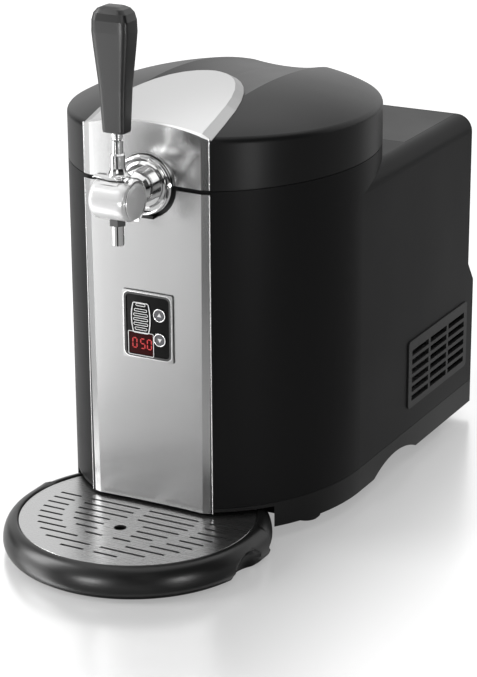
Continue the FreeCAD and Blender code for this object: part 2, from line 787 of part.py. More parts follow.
def tongue_cap():
    """The tongue's slopes over the whole front of the lid, closed above by the raised dome."""
    top_share = "((tongue_top_rear_y - front_flat_y) / (tongue_rear_y - front_flat_y))"
    ahead = "front_flat_y - 8"
    sections = [(f"-({ahead})", tongue_section(ahead, "tongue_half", "tongue_top_half", "tongue_rise"))]
    for share in TONGUE_SHARES:
        y = f"(front_flat_y + {share} * (tongue_rear_y - front_flat_y))"
        foot_half = tongue_width("tongue_half", share)
        top_half = f"max({tongue_width('tongue_top_half', f'({share} / {top_share})')}; 0.4)"
        rise = "tongue_rise" if share < TONGUE_SHARES[-1] else "tongue_edge"
        sections.append((f"-{y}", tongue_section(y, foot_half, top_half, rise)))
    slopes = lofted("tongue_slopes", sections, plane="XZ_Plane")
    return meet("tongue_cap", [slopes, dome("tongue_top", "tongue_rise")])


def tongue(cap):
    """Sloped rim and bright plate of the tongue."""
    behind = block("tongue_extent", ("-half_width", "half_width"), ("front_flat_y", "0"),
                   ("seam_z", "2 * seam_z"))
    raised = cut("tongue_raised", meet("tongue_form", [cap, behind]), [dome("tongue_under", "0")])
    node("tongue_rim", cut("tongue_rim_form", raised, [
        tongue_prism("tongue_rim_inner", "tongue_top_half + 0.1", "tongue_top_rear_y + 0.1")]))
    node("tongue_plate", meet("tongue_plate_form", [
        raised, tongue_prism("tongue_plate_outline", "tongue_top_half", "tongue_top_rear_y")]))


def lid_inside():
    """Inner tray, foam and seal of the lid."""
    liner = drum("inner_plan", "wall + 1", "seam_z + 1", "seam_z + 3")
    cup = rod("inner_cup", "cup_radius", "cup_height", ("0", "keg_y", "seam_z + 1"))
    path = block("inner_tap_path", about("0", "notch_radius + 1"), ("2 * front_flat_y", "keg_y - liner_radius"),
                 ("0", "seam_z + cup_height + 4"))
    line_path = block("inner_line_path", about("0", "line_radius + 3"),
                      ("front_flat_y", "keg_y - 0.8 * cup_radius"), ("0", "seam_z + line_radius + 4"))
    hollow = rod("inner_cup_hollow", "cup_radius - cup_wall", "cup_height - cup_wall",
                 ("0", "keg_y", "seam_z + 1"))
    node("lid_liner", cut("inner_tray", join("inner_form", [liner, cup]), [hollow, path, line_path]))
    foam_plan = drum("foam_plan", "wall + 3", "seam_z + 3.2", "seam_z + 90")
    foam_cap = meet("foam_form", [foam_plan, dome("foam_dome", "-wall - 1.5")])
    node("lid_foam", cut("foam_block", foam_cap, [
        trough("foam_trough", "wall + 1.5"),
        rod("foam_cup_hole", "cup_radius + 0.4", "cup_height + 0.5", ("0", "keg_y", "seam_z + 1")),
        block("foam_tap_path", about("0", "notch_radius + 1.5"), ("2 * front_flat_y", "keg_y - liner_radius + 1"),
              ("0", "seam_z + cup_height + 4.5")),
        block("foam_line_path", about("0", "line_radius + 3.5"), ("front_flat_y", "keg_y"),
              ("0", "seam_z + line_radius + 4.5"))]))
    seal = rod("seal_outer", "liner_radius + foam_thick", "seam_z + 1 - (liner_top_z + wall + touch_gap)",
               ("0", "keg_y", "liner_top_z + wall + touch_gap"))
    node("lid_seal", cut("seal_ring", seal, [
        rod("seal_bore", "liner_radius + foam_thick - 5", "9", ("0", "keg_y", "liner_top_z")),
        block("seal_gap", about("0", "notch_radius + 2"), ("2 * front_flat_y", "0"), ("0", "seam_z + 9"))]))


def hinges():
    ears = []
    for x in ("-hinge_x", "hinge_x"):
        for side in (-1, 1):
            near = f"{x} + {side} * (knuckle_half + touch_gap)"
            far = f"{x} + {side} * (knuckle_half + touch_gap + ear_thick)"
            span = (near, far) if side > 0 else (far, near)
            foot = block("ear_foot", span, ("hinge_y - 6", "hinge_y + 8"), ("deck_z", "hinge_z"))
            eye = rod("ear_eye", "knuckle_radius", "ear_thick", (span[0], "hinge_y", "hinge_z"), "x")
            bore = rod("ear_bore", "hinge_pin_radius", "3 * ear_thick",
                       (f"{span[0]} - ear_thick", "hinge_y", "hinge_z"), "x")
            ears.append(cut("ear", join("ear_form", [foot, eye]), [bore]))
    group("hinge_ears", ears)
    pins = []
    for x in ("-hinge_x", "hinge_x"):
        half = "(knuckle_half + touch_gap + ear_thick)"
        pins.append(rod("pin", "hinge_pin_radius", f"2 * {half}", (f"{x} - {half}", "hinge_y", "hinge_z"), "x"))
    group("hinge_pins", pins)


# ---------------------------------------------------------------- tap

SLOT_STEPS = 5


def tap_fixed():
    """Barrel with its bore and lever slot, neck, flange, shank and spout."""
    half, radius = "barrel_half", "barrel_radius"
    body = turned("barrel_turning", [("0", f"-{half}"), (radius, f"-{half}"), (radius, half), ("0", half)],
                  ("0", "tap_y", "seam_z"), "x")
    fillet(body, "barrel_round", lambda middle, edge: edge.BoundBox.XLength < 0.1)
    reach = "barrel_radius + 2"
    near, wide = "(stem_offset - slot_half)", "2 * slot_half"
    swing = value("lever_swing")
    slots = []
    for number in range(SLOT_STEPS + 1):
        angle = swing * number / SLOT_STEPS
        slot = bind(part("Box", "barrel_slot"), Length=wide, Width=wide, Height=reach)
        slot.Placement = Placement(Vector(), Rotation(Vector(1, 0, 0), angle))
        slots.append(bind(slot, Placement_Base_x="-slot_half",
                          Placement_Base_y=f"tap_y + {near} * cos({angle} deg)",
                          Placement_Base_z=f"seam_z + {near} * sin({angle} deg)"))
    bore = rod("barrel_bore", "bore_radius", "2 * barrel_half - 6", ("-barrel_half + 3", "tap_y", "seam_z"), "x")
    outlet = rod("barrel_outlet", "port_radius", reach, ("0", "tap_y", f"seam_z - ({reach})"))
    inlet = rod("barrel_inlet", "port_radius", reach, ("0", "tap_y", "seam_z"), "y")
    node("tap_barrel", cut("barrel", body, [bore, outlet, inlet] + slots))
    neck = turned("neck_turning", [
        ("spout_bore", "0"), ("neck_radius - 2", "0"), ("neck_radius - 2", "4"), ("neck_radius + 2", "9"),
        ("neck_radius + 2", "13"), ("neck_radius", "15"), ("neck_radius + 3", "22"),
        ("neck_radius + 3", "flange_front_y - tap_y - 8"), ("spout_bore", "flange_front_y - tap_y - 8")],
        ("0", "tap_y + 8", "seam_z"), "y")
    node("tap_neck", cut("neck", neck, [
        rod("neck_saddle", "barrel_radius", "4 * barrel_half", ("-2 * barrel_half", "tap_y", "seam_z"), "x")]))
    flange = turned("flange_turning", [
        ("thread_radius", "flange_front_y"), ("flange_radius - 7", "flange_front_y"),
        ("flange_radius - 5", "flange_front_y + 2.6"), ("flange_radius - 1", "flange_front_y + 2.6"),
        ("flange_radius", "flange_front_y + 3.6"), ("flange_radius", "flange_back_y"),
        ("thread_radius", "flange_back_y")], ("0", "0", "seam_z"), "y")
    node("tap_flange", flange)
    shank = turned("shank_turning", [
        ("spout_bore", "flange_front_y"), ("thread_radius", "flange_front_y"),
        ("thread_radius", "flange_back_y + 20"), ("barb_radius", "flange_back_y + 21"),
        ("barb_radius", "flange_back_y + 28"), ("spout_bore", "flange_back_y + 28")], ("0", "0", "seam_z"), "y")
    node("tap_shank", shank)
    low = "seam_z - barrel_radius - nut_height + 0.8"
    nut = new_body("nut_body")
    outline = sketch(nut, "XY_Plane", low)
    points = [(f"nut_radius * cos({60 * k} deg)", f"tap_y + stem_offset - 2 + nut_radius * sin({60 * k} deg)")
              for k in range(6)]
    polygon(outline, points)
    pad(nut, outline, "nut_height")
    y = "tap_y + stem_offset - 2"
    node("spout_nut", cut("nut", nut, [
        rod("nut_bore", "spout_radius", "3 * nut_height", ("0", y, f"{low} - 5")),
        rod("nut_saddle", "barrel_radius", "4 * barrel_half", ("-2 * barrel_half", "tap_y", "seam_z"), "x")]))
    tube = turned("spout_turning", [
        ("spout_bore", "-nut_height + 3.4 - spout_length"),
        ("spout_radius - 0.5", "-nut_height + 3.4 - spout_length"),
        ("spout_radius", "-nut_height + 3.9 - spout_length"), ("spout_radius", "4"), ("spout_bore", "4")],
        ("0", y, "seam_z - barrel_radius"))
    node("spout", cut("spout_tube", tube, [
        rod("spout_saddle", "barrel_radius", "4 * barrel_half", ("-2 * barrel_half", "tap_y", "seam_z"), "x")]))


def tap_bracket():
    """The cradle that fills the notch in the housing and holds the shank."""
    front = "flange_back_y"
    plate = rod("cradle_disc", "notch_radius - 0.4", "7", ("0", front, "seam_z"), "y")
    lip = block("cradle_lip", about("0", "8"), ("panel_edge_y - 4", front),
                ("seam_z - notch_radius + 0.4", "seam_z - notch_radius + 3"))
    return node("tap_bracket", cut("cradle", join("cradle_form", [plate, lip]), [
        block("cradle_top", ("-half_width", "half_width"), ("2 * front_flat_y", "0"),
              ("seam_z - 0.6", "2 * seam_z")),
        rod("cradle_seat", "thread_radius", "20", ("0", f"{front} - 5", "seam_z"), "y")]))


def beer_line():
    """Soft line pushed over the shank's barb, and the coupler it carries over the keg's head."""
    start, end = "flange_back_y + 21.2", "keg_y - 9"
    length = f"({end} - ({start}))"
    line = turned("line_turning", [
        ("barb_radius", "0"), ("barb_radius + 1.4", "0"), ("barb_radius + 1.4", "7"), ("line_radius", "10"),
        ("line_radius", length), ("line_bore", length), ("line_bore", "8.6"), ("barb_radius", "6.9")],
        ("0", start, "seam_z"), "y")
    node("beer_line", line)
    head = turned("coupler_turning", [
        ("0", "liner_top_z - seam_z + 1"), ("6", "liner_top_z - seam_z + 1"), ("6", "-3"), ("9", "-3"),
        ("9", "8"), ("7", "10"), ("0", "10")], ("0", "keg_y", "seam_z"))
    spigot = rod("coupler_spigot", "line_bore", "10", ("0", f"{end} - 9", "seam_z"), "y")
    bore = rod("coupler_bore", "line_bore - 1.4", "18", ("0", f"{end} - 10", "seam_z"), "y")
    inlet = rod("coupler_inlet", "line_bore - 1.4", "9", ("0", "keg_y", "seam_z - 9"))
    node("keg_coupler", cut("coupler", join("coupler_form", [head, spigot]), [bore, inlet]))


def tap_nut():
    body = new_body("shank_nut_body")
    outline = sketch(body, "XY_Plane")
    polygon(outline, [(f"14 * cos({60 * k} deg)", f"14 * sin({60 * k} deg)") for k in range(6)])
    pad(body, outline, "6")
    bored = cut("shank_nut_bored", body, [rod("shank_nut_bore", "thread_radius", "12", ("0", "0", "-3"))])
    return node("shank_nut", place(bored, ("0", "flange_back_y + 7", "seam_z"), "y"))


SADDLE_FRONT, SADDLE_REAR = 12, 42     # degrees before and behind the vertical
SCREW_TILT = 7
HANDLE_SECTIONS = (                    # share of the height, width, depth
    (0, "handle_base_x - 1", "handle_base_y - 1"),
    (0.01, "handle_base_x", "handle_base_y"),
    (0.35, "handle_base_x + 2.8", "handle_base_y + 1.8"),
    (0.68, "handle_wide_x - 0.6", "handle_wide_y - 0.6"),
    (0.80, "handle_wide_x", "handle_wide_y"),
    (0.965, "handle_wide_x - 3.4", "handle_wide_y - 2.2"),
    (0.985, "handle_wide_x - 5", "handle_wide_y - 3.6"),
    (1, "handle_wide_x - 8.4", "handle_wide_y - 7"),
)


def soft_rectangle(x, y, corner):
    """A rectangle with cut corners, from its half sizes."""
    x, y, a, b = f"({x})", f"({y})", f"({x} - {corner})", f"({y} - {corner})"
    return [(a, f"-{y}"), (x, f"-{b}"), (x, b), (a, y), (f"-{a}", y), (f"-{x}", b), (f"-{x}", f"-{b}"),
            (f"-{a}", f"-{y}")]


def tap_lever():
    """Everything that swings with the handle: spindle, saddle, collar, stem and handle."""
    inner = "(barrel_radius + touch_gap)"
    outer = f"({inner} + saddle_thick)"
    sector = bind(part("Cylinder", "saddle_sector"), Radius=outer, Height="2 * barrel_half - 2")
    sector.Angle = SADDLE_FRONT + SADDLE_REAR
    sector.Placement = Placement(Vector(), Rotation(Vector(1, 0, 0), 180 - SADDLE_REAR) * AXES["x"])
    bind(sector, Placement_Base_x="-barrel_half + 1", Placement_Base_y="tap_y", Placement_Base_z="seam_z")
    stem_y = "tap_y + stem_offset"
    tower = turned("saddle_tower", [
        ("0", "barrel_radius - 2"), ("collar_radius + 3.4", "barrel_radius - 2"),
        ("collar_radius + 3.4", "saddle_top - 2.5"), ("collar_radius + 1", "saddle_top"),
        ("0", "saddle_top")], ("0", stem_y, "seam_z"))
    saddle = cut("saddle_form", join("saddle_parts", [sector, tower]), [
        rod("saddle_bore", inner, "4 * barrel_half", ("-2 * barrel_half", "tap_y", "seam_z"), "x"),
        rod("saddle_shank_hole", "shank_radius", "40", ("0", stem_y, "seam_z"))])
    node("tap_saddle", saddle)
    set_screw = turned("set_screw_turning", [
        ("0", "0"), ("2.1", "0"), ("2.1", "0.5"), ("1.5", "1"), ("0.9", "1"), ("0.9", "0.3"), ("0", "0.3")])
    set_screw.Placement = Placement(Vector(), Rotation(Vector(1, 0, 0), SCREW_TILT))
    node("saddle_screw", bind(set_screw, Placement_Base_x="collar_radius + 3.3",
                              Placement_Base_y=f"tap_y - {outer} * sin({SCREW_TILT} deg)",
                              Placement_Base_z=f"seam_z + {outer} * cos({SCREW_TILT} deg)"))
    spindle = rod("spindle_barrel", "bore_radius - fit_gap", "2 * barrel_half - 8",
                  ("-barrel_half + 4", "tap_y", "seam_z"), "x")
    shank = rod("spindle_shank", "shank_radius", "saddle_top - 1", ("0", stem_y, "seam_z"))
    legs = []
    for angle in (180 - value("lever_swing"), -90 - value("lever_swing")):
        leg = bind(part("Cylinder", "spindle_port"), Radius="port_radius", Height="bore_radius + 1")
        leg.Placement = Placement(Vector(), Rotation(Vector(1, 0, 0), angle))
        legs.append(bind(leg, Placement_Base_y="tap_y", Placement_Base_z="seam_z"))
    node("valve_spindle", cut("spindle", join("spindle_form", [spindle, shank]), legs))
    node("lever_collar", turned("collar_turning", [
        ("0", "saddle_top"), ("collar_radius - 0.6", "saddle_top"), ("collar_radius", "saddle_top + 0.6"),
        ("collar_radius", "saddle_top + collar_height - 1.2"),
        ("collar_radius - 1", "saddle_top + collar_height"), ("0", "saddle_top + collar_height")],
        ("0", stem_y, "seam_z")))
    foot = "saddle_top + collar_height"
    node("lever_stem", turned("stem_turning", [
        ("0", foot), ("stem_radius", foot), ("stem_radius", f"{foot} + 10"),
        ("stem_radius - 0.8", f"{foot} + 10.8"), ("stem_radius - 0.8", f"{foot} + 12"),
        ("stem_radius", f"{foot} + 12.8"),
        ("stem_radius", f"{foot} + stem_height"), ("0", f"{foot} + stem_height")], ("0", stem_y, "seam_z")))
    node("lever_handle", lofted("handle_form", [
        (f"{share} * handle_height", soft_rectangle(f"({across}) / 2", f"({along}) / 2", "handle_round"))
        for share, across, along in HANDLE_SECTIONS], at=("0", stem_y, f"seam_z + {foot} + stem_height")))


# ---------------------------------------------------------------- drip tray

def drip_tray():
    body = turned("tray_turning", [
        ("0", "0"), ("tray_radius - 7", "0"), ("tray_radius - 1.6", "5"), ("tray_radius", "12"),
        ("tray_radius - 1.8", "19.5"), ("tray_radius - 6", "25.4"), ("grille_radius + 1.6", "tray_height"),
        ("grille_radius + 0.4", "tray_height"), ("grille_radius + 0.4", "grille_top_z - grille_thick"),
        ("grille_radius - 4", "grille_top_z - grille_thick"), ("grille_radius - 9", "tray_floor"),
        ("0", "tray_floor")], ("0", "tray_y", "0"))
    rear = block("tray_rear_cut", ("-2 * half_width", "2 * half_width"), ("tray_rear_y", "0"),
                 ("-1", "2 * tray_height"))
    trimmed = cut("tray_trimmed", body, [rear])
    wall = meet("tray_rear_wall", [
        rod("tray_rear_disc", "grille_radius - 3", "grille_top_z - grille_thick", ("0", "tray_y", "0")),
        block("tray_rear_slab", ("-half_width", "half_width"), ("tray_rear_y - 6", "tray_rear_y"),
              ("0", "grille_top_z - grille_thick"))])
    grip = "((grip_half ^ 2 + grip_rise ^ 2) / (2 * grip_rise))"
    grips = rod("tray_grips", grip, "4 * half_width", ("-2 * half_width", "grip_y", f"grip_rise - {grip}"), "x")
    keep = block("tray_grip_keep", about("0", "grille_radius - grip_wall"), ("2 * front_flat_y", "0"),
                 (f"-2 * {grip}", "2 * tray_height"))
    closed = join("tray_closed", [trimmed, wall])
    return node("drip_tray", cut("tray", closed, [cut("tray_grip_arches", grips, [keep])]))


def slot_spans(offset):
    """Spans of one row of slots: an outer pair beyond the plain band and an inner pair within it."""
    spans = []
    for low, high in (("band_radius + band_half", "grille_radius - grille_margin"),
                      ("0", "band_radius - band_half")):
        if value(f"({high}) ^ 2 - ({offset}) ^ 2") < 100:
            continue
        far = f"sqrt(({high}) ^ 2 - ({offset}) ^ 2)"
        inner_ring = low == "0" or value(f"({low}) ^ 2 - ({offset}) ^ 2") < 0
        near = "band_half" if inner_ring else f"sqrt(({low}) ^ 2 - ({offset}) ^ 2)"
        if low == "0" and abs(value(f"{offset} + drain_ahead")) < value("1.5 * grille_pitch"):
            near = "3 * drain_radius"
        if value(f"{far} - ({near})") > value("2 * grille_slot"):
            spans += [(near, far), (f"-{far}", f"-({near})")]
    return spans


def drip_grille():
    """Steel disc cut off straight behind, with its slots and the drain hole."""
    low = "grille_top_z - grille_thick"
    disc = turned("grille_disc", [
        ("0", low), ("grille_radius", low), ("grille_radius", "grille_top_z - 0.4"),
        ("grille_radius - 0.4", "grille_top_z"), ("0", "grille_top_z")], ("0", "tray_y", "0"))
    cuts = [block("grille_rear_cut", ("-2 * half_width", "2 * half_width"), ("grille_rear_y", "0"),
                  ("-1", "2 * tray_height")),
            rod("grille_drain", "drain_radius", "2 * tray_height", ("0", "tray_y - drain_ahead", "0"))]
    for row in range(-8, 2):
        offset = f"(grille_first + {row} * grille_pitch)"
        for span in slot_spans(offset):
            cuts.append(block("grille_slot", span, about(f"tray_y + {offset}", "grille_slot / 2"),
                              ("0", "2 * tray_height")))
    return node("drip_grille", cut("grille", disc, cuts))


# ---------------------------------------------------------------- keg chamber and cooling

def chamber():
    inner, outer = "liner_radius", "liner_radius + liner_wall"
    liner = turned("liner_spinning", [
        ("0", "liner_floor_z - liner_wall"), (outer, "liner_floor_z - liner_wall"), (outer, "liner_top_z"),
        (inner, "liner_top_z"), (inner, "liner_floor_z"), ("0", "liner_floor_z")], ("0", "keg_y", "0"))
    node("chamber_liner", liner)
    gap = "liner_radius + liner_wall + 0.2"
    foam = turned("foam_cup", [
        ("0", "foam_floor_z"), ("liner_radius + foam_thick", "foam_floor_z"),
        ("liner_radius + foam_thick", "liner_top_z - 2"), (gap, "liner_top_z - 2"),
        (gap, "liner_floor_z - liner_wall"), ("0", "liner_floor_z - liner_wall")], ("0", "keg_y", "0"))
    node("insulation_jacket", cut("foam_jacket", foam, [
        block("foam_cold_window", about("0", "cold_half + 0.5"), ("keg_y", "keg_y + 2 * liner_radius"),
              about("cold_z", "cold_half + 0.5"))]))
    pad_disc = turned("pad_disc", [("0", "liner_floor_z"), ("liner_radius - 6", "liner_floor_z"),
                                   ("liner_radius - 6", "liner_floor_z + 2"), ("0", "liner_floor_z + 2")],
                      ("0", "keg_y", "0"))
    node("keg_pad", pad_disc)
    ring = drum("collar_plan", "wall + seam_gap", "liner_top_z", "liner_top_z + wall")
    node("chamber_collar", cut("collar_plate", ring, [
        block("collar_bracket_path", about("0", "notch_radius"),
              ("2 * front_flat_y", "flange_back_y + 7 + touch_gap"), ("0", "2 * seam_z")),
        rod("collar_bore", "liner_radius", "40", ("0", "keg_y", "liner_top_z - 9")),
        block("collar_tap_path", about("0", "17"), ("2 * front_flat_y", "0"), ("0", "2 * seam_z"))]))


def cooling():
    face = "keg_y + liner_radius + liner_wall"
    rear = f"{face} + cold_depth"
    cold = block("cold_form", about("0", "cold_half"), (f"{face} - 6", rear), about("cold_z", "cold_half"))
    node("cold_block", cut("cold", cold, [
        rod("cold_seat", "liner_radius + liner_wall + 0.05", "2 * liner_radius",
            ("0", "keg_y", "cold_z - liner_radius"))]))
    node("peltier_module", block("peltier", about("0", "peltier_side / 2"),
                                 (rear, f"{rear} + peltier_thick"), about("cold_z", "peltier_side / 2")))
    base = f"{rear} + peltier_thick"
    fins = [block("sink_plate", about("0", "sink_half"), (base, f"{base} + sink_base"),
                  about("cold_z", "sink_half"))]
    for number in range(int(value("fin_count"))):
        x = f"-sink_half + fin_thick / 2 + {number} * (2 * sink_half - fin_thick) / (fin_count - 1)"
        fins.append(block("fin", about(x, "fin_thick / 2"),
                          (f"{base} + sink_base", f"{base} + sink_base + fin_depth"),
                          about("cold_z", "sink_half")))
    node("heat_sink", join("sink", fins))
    front = f"{base} + sink_base + fin_depth"
    frame = block("fan_square", about("0", "fan_half"), (front, f"{front} + fan_thick"),
                  about("cold_z", "fan_half"))
    tunnel = rod("fan_tunnel", "rotor_radius + 1.5", "fan_thick", ("0", front, "cold_z"), "y")
    ring = cut("fan_ring", frame, [tunnel] + [
        rod("fan_screw_hole", "2.2", "fan_thick", (x, front, f"cold_z + ({z})"), "y")
        for x in ("-41", "41") for z in ("-41", "41")])
    spokes = [rod("fan_cap", "hub_radius", "3", ("0", f"{front} + fan_thick - 3", "cold_z"), "y"),
              rod("fan_pivot", "2", "14", ("0", f"{front} + fan_thick - 14", "cold_z"), "y")]
    for angle in (45, 135):
        spoke = part("Box", "fan_spoke")
        bind(spoke, Length="2 * rotor_radius + 6", Width="3", Height="4")
        turn = Rotation(Vector(0, 1, 0), angle)
        arm = part("Compound", "fan_spoke_turned")
        bind(spoke, Placement_Base_x="-rotor_radius - 3", Placement_Base_z="-2")
        arm.Links = [spoke]
        arm.Placement = Placement(Vector(), turn)
        bind(arm, Placement_Base_y=f"{front} + fan_thick - 3", Placement_Base_z="cold_z")
        spokes.append(arm)
    node("fan_frame", join("fan_housing", [ring] + spokes))
    fan_rotor(front)
    return front


def fan_rotor(front):
    """A hub with seven pitched blades, running on the frame's pivot."""
    hub = rod("rotor_hub", "hub_radius", "fan_thick - 5", ("0", f"{front} + 1.4", "cold_z"), "y")
    blades = [hub]
    for number in range(7):
        blade = lofted(f"rotor_blade_{number}", [
            ("hub_radius - 2", [("-8", "7"), ("8", "13.4"), ("8", "15"), ("-8", "8.6")]),
            ("rotor_radius - 2", [("-11", "6"), ("11", "12"), ("11", "13.4"), ("-11", "7.4")])])
        turn = Rotation(Vector(0, 1, 0), 360 / 7 * number)
        blade.Placement = Placement(Vector(), turn)
        bind(blade, Placement_Base_y=front, Placement_Base_z="cold_z", Placement_Base_x="0")
        blades.append(blade)
    bore = rod("rotor_bore", "2 + fit_gap", "12.4", ("0", f"{front} + fan_thick - 3.6 - 12.4", "cold_z"), "y")
    return node("fan_rotor", cut("rotor", join("rotor_form", blades), [bore]))


def electrics():
    """Power supply on the pan's floor; inlet and switch let into the rear cover from inside."""
    case = block("supply_case", SUPPLY_X, SUPPLY_Y, ("foot_height + wall", "supply_top_z"))
    node("power_supply", rounded("supply_soft", case, "2", lambda middle, edge: edge.BoundBox.ZLength > 9))
    inside = "cover_rear_y - wall + seam_gap"
    body = new_body("inlet_body")
    face = sketch(body, "XZ_Plane", f"-({inside})")
    rectangle(face, about(INLET_X, "inlet_half_x + mains_lip"), about("inlet_z", "inlet_half_z + mains_lip"))
    pad(body, face, "1.6")
    plug = sketch(body, "XZ_Plane", "-cover_rear_y")
    rectangle(plug, about(INLET_X, "inlet_half_x"), about("inlet_z", "inlet_half_z"))
    pad(body, plug, "18")
    well = sketch(body, "XZ_Plane", "-cover_rear_y")
    wide, low, high, bevel = "(inlet_half_x - 2)", "(inlet_z - inlet_half_z + 2)", "(inlet_z + inlet_half_z - 1.5)", 5
    polygon(well, [(f"{INLET_X} - {wide}", low), (f"{INLET_X} + {wide}", low),
                   (f"{INLET_X} + {wide}", f"{high} - {bevel}"), (f"{INLET_X} + {wide} - {bevel}", high),
                   (f"{INLET_X} - {wide} + {bevel}", high), (f"{INLET_X} - {wide}", f"{high} - {bevel}")])
    pocket(body, well, "pin_length + 3", back=True)
    node("power_inlet", body)
    group("inlet_pins", [
        block("inlet_pin", about(f"{INLET_X} + {x}", "0.8"),
              ("cover_rear_y - pin_length - 3", "cover_rear_y - 3"), about(f"inlet_z + {z}", "2"))
        for x, z in ((-7, -2.5), (0, 1.5), (7, -2.5))])
    housing = block("switch_form", about(SWITCH_X, "switch_half_x"), ("cover_rear_y - 16", "cover_rear_y"),
                    about("switch_z", "switch_half_z"))
    flange = block("switch_flange", about(SWITCH_X, "switch_half_x + mains_lip"), (f"{inside} - 1.6", inside),
                   about("switch_z", "switch_half_z + mains_lip"))
    node("switch_housing", cut("switch", join("switch_whole", [housing, flange]), [
        block("switch_well", about(SWITCH_X, "switch_half_x - 2"), ("cover_rear_y - 11", "cover_rear_y + 3"),
              about("switch_z", "switch_half_z - 1.5")),
        rod("switch_pivot", "1.2", "2 * switch_half_x - 1",
            (f"{SWITCH_X} - switch_half_x + 0.5", "cover_rear_y - 3", "switch_z"), "x")]))
    rocker = new_body("rocker_body")
    side = sketch(rocker, "YZ_Plane")
    polygon(side, [("-2.6", "-3.5"), ("-2.6", "3.5"), ("2.4", "4.1"), ("1.2", "0"), ("2.4", "-4.1")])
    pad(rocker, side, "2 * switch_half_x - 4.6", both=True)
    pivot = rod("rocker_pivot", "1.2 - fit_gap", "2 * switch_half_x - 1.4",
                ("0.7 - switch_half_x", "0", "0"), "x")
    whole = join("rocker", [rocker, pivot])
    whole.Placement = Placement(Vector(), Rotation(Vector(1, 0, 0), -ROCKER_TILT))
    bind(whole, Placement_Base_x=SWITCH_X, Placement_Base_y="cover_rear_y - 3", Placement_Base_z="switch_z")
    node("power_rocker", whole)


def screw(name, at, axis):
    """A pan head seen from outside, with its cross."""
    head = turned(name, [("0", "-1.6"), ("3.2", "-1.6"), ("2.8", "-0.3"), ("1.6", "0"), ("0", "0")], at, axis)
    for across, along in (("1.8", "0.35"), ("0.35", "1.8")):
        cross = sketch(head, "XY_Plane")
        rectangle(cross, about("0", across), about("0", along))
        pocket(head, cross, "0.9")
    return head


def fasteners():
    """Screws of the rear cover and of the base, each kind one group of separate solids."""
    group("cover_screws", [screw("cover_screw", (x, y, z), "y") for x, z, y in COVER_SCREWS])
    group("base_screws", [screw("base_screw", (x, y, "foot_height - 1.6"), "-z")
                          for x in ("-half_width + 26", "half_width - 26")
                          for y in ("0", "cover_rear_y - 60")])


# ---------------------------------------------------------------- assembly

body_shell()
base_pan()
rubber_feet()
rear_cover_slots(rear_cover())
deck_plate()
side_grille("side_grille_right", 1)
side_grille("side_grille_left", -1)
front_panel()
bright_cap = tongue_cap()
lid_fascia(bright_cap)
control_bezel()
controls()
lid_shell()
tongue(bright_cap)
lid_inside()
hinges()
tap_fixed()
tap_bracket()
tap_nut()
beer_line()
tap_lever()
drip_tray()
drip_grille()
chamber()
cooling()
electrics()
fasteners()
doc.recompute()

for item in doc.Objects:
    if "Invalid" in item.State or "Error" in item.State:
        raise RuntimeError(f"{item.Name} ({item.Label}) failed: {item.State}")
os.makedirs("parts", exist_ok=True)
for name, item in nodes.items():
    if item.Shape.isNull() or not item.Shape.isValid():
        raise RuntimeError(f"{name} has no valid shape")
    item.Shape.exportStep(f"parts/{name}.step")
print(len(nodes), "nodes")
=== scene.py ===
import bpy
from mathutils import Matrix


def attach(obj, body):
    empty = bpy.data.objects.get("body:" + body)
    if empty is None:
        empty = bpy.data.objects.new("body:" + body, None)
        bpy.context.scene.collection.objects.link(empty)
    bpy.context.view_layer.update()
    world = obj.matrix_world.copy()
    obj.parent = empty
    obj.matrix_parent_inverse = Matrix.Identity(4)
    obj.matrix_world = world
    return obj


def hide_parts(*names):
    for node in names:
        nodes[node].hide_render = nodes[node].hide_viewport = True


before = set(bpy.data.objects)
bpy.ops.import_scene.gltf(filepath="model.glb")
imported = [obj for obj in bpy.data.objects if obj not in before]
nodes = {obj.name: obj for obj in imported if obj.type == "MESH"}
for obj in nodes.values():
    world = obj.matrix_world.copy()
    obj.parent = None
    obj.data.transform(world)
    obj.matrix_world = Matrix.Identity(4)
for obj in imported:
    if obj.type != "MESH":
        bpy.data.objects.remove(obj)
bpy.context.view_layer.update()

from math import cos, pi, radians, sin

import bmesh
import bpy
from mathutils import Matrix, Vector

MM = 0.001


# ---------------------------------------------------------------- camera

CAMERA_TURN, CAMERA_RISE, CAMERA_ROLL = 28.204, 19.739, -0.352      # degrees
CAMERA_TARGET = (0.008659, 0.015943, 0.130716)
CAMERA_DISTANCE = 2.039045
CAMERA_LENS = 125.55


def set_camera():
    """Front right of the dispenser and a little above the lid."""
    turn, rise, roll = radians(CAMERA_TURN), radians(CAMERA_RISE), radians(CAMERA_ROLL)
    right = Vector((cos(turn), sin(turn), 0))
    back = Vector((sin(turn) * cos(rise), -cos(turn) * cos(rise), sin(rise)))
    up = back.cross(right)
    across = cos(roll) * right + sin(roll) * up
    upward = -sin(roll) * right + cos(roll) * up
    place = Matrix((across, upward, back)).transposed().to_4x4()
    place.translation = Vector(CAMERA_TARGET) + CAMERA_DISTANCE * back
    data = bpy.data.cameras.new("camera")
    data.lens = CAMERA_LENS
    data.clip_end = 100
    camera = bpy.data.objects.new("camera", data)
    camera.matrix_world = place
    bpy.context.scene.collection.objects.link(camera)
    bpy.context.scene.camera = camera


set_camera()


# ---------------------------------------------------------------- shader helpers

def wire(tree, source, target):
    tree.links.new(source, target)


def add(tree, kind, **values):
    """A node with its settings; names of sockets have spaces for underscores."""
    item = tree.nodes.new(kind)
    for name, value in values.items():
        if hasattr(item, name):
            setattr(item, name, value)
        else:
            item.inputs[name.replace("_", " ")].default_value = value
    return item


def fed(tree, item, values):
    """Wires sockets to the node's inputs in use, or sets plain values, and gives its result."""
    targets = [socket for socket in item.inputs if socket.enabled]
    for target, value in zip(targets, values):
        if isinstance(value, bpy.types.NodeSocket):
            wire(tree, value, target)
        else:
            target.default_value = value
    return next(socket for socket in item.outputs if socket.enabled)


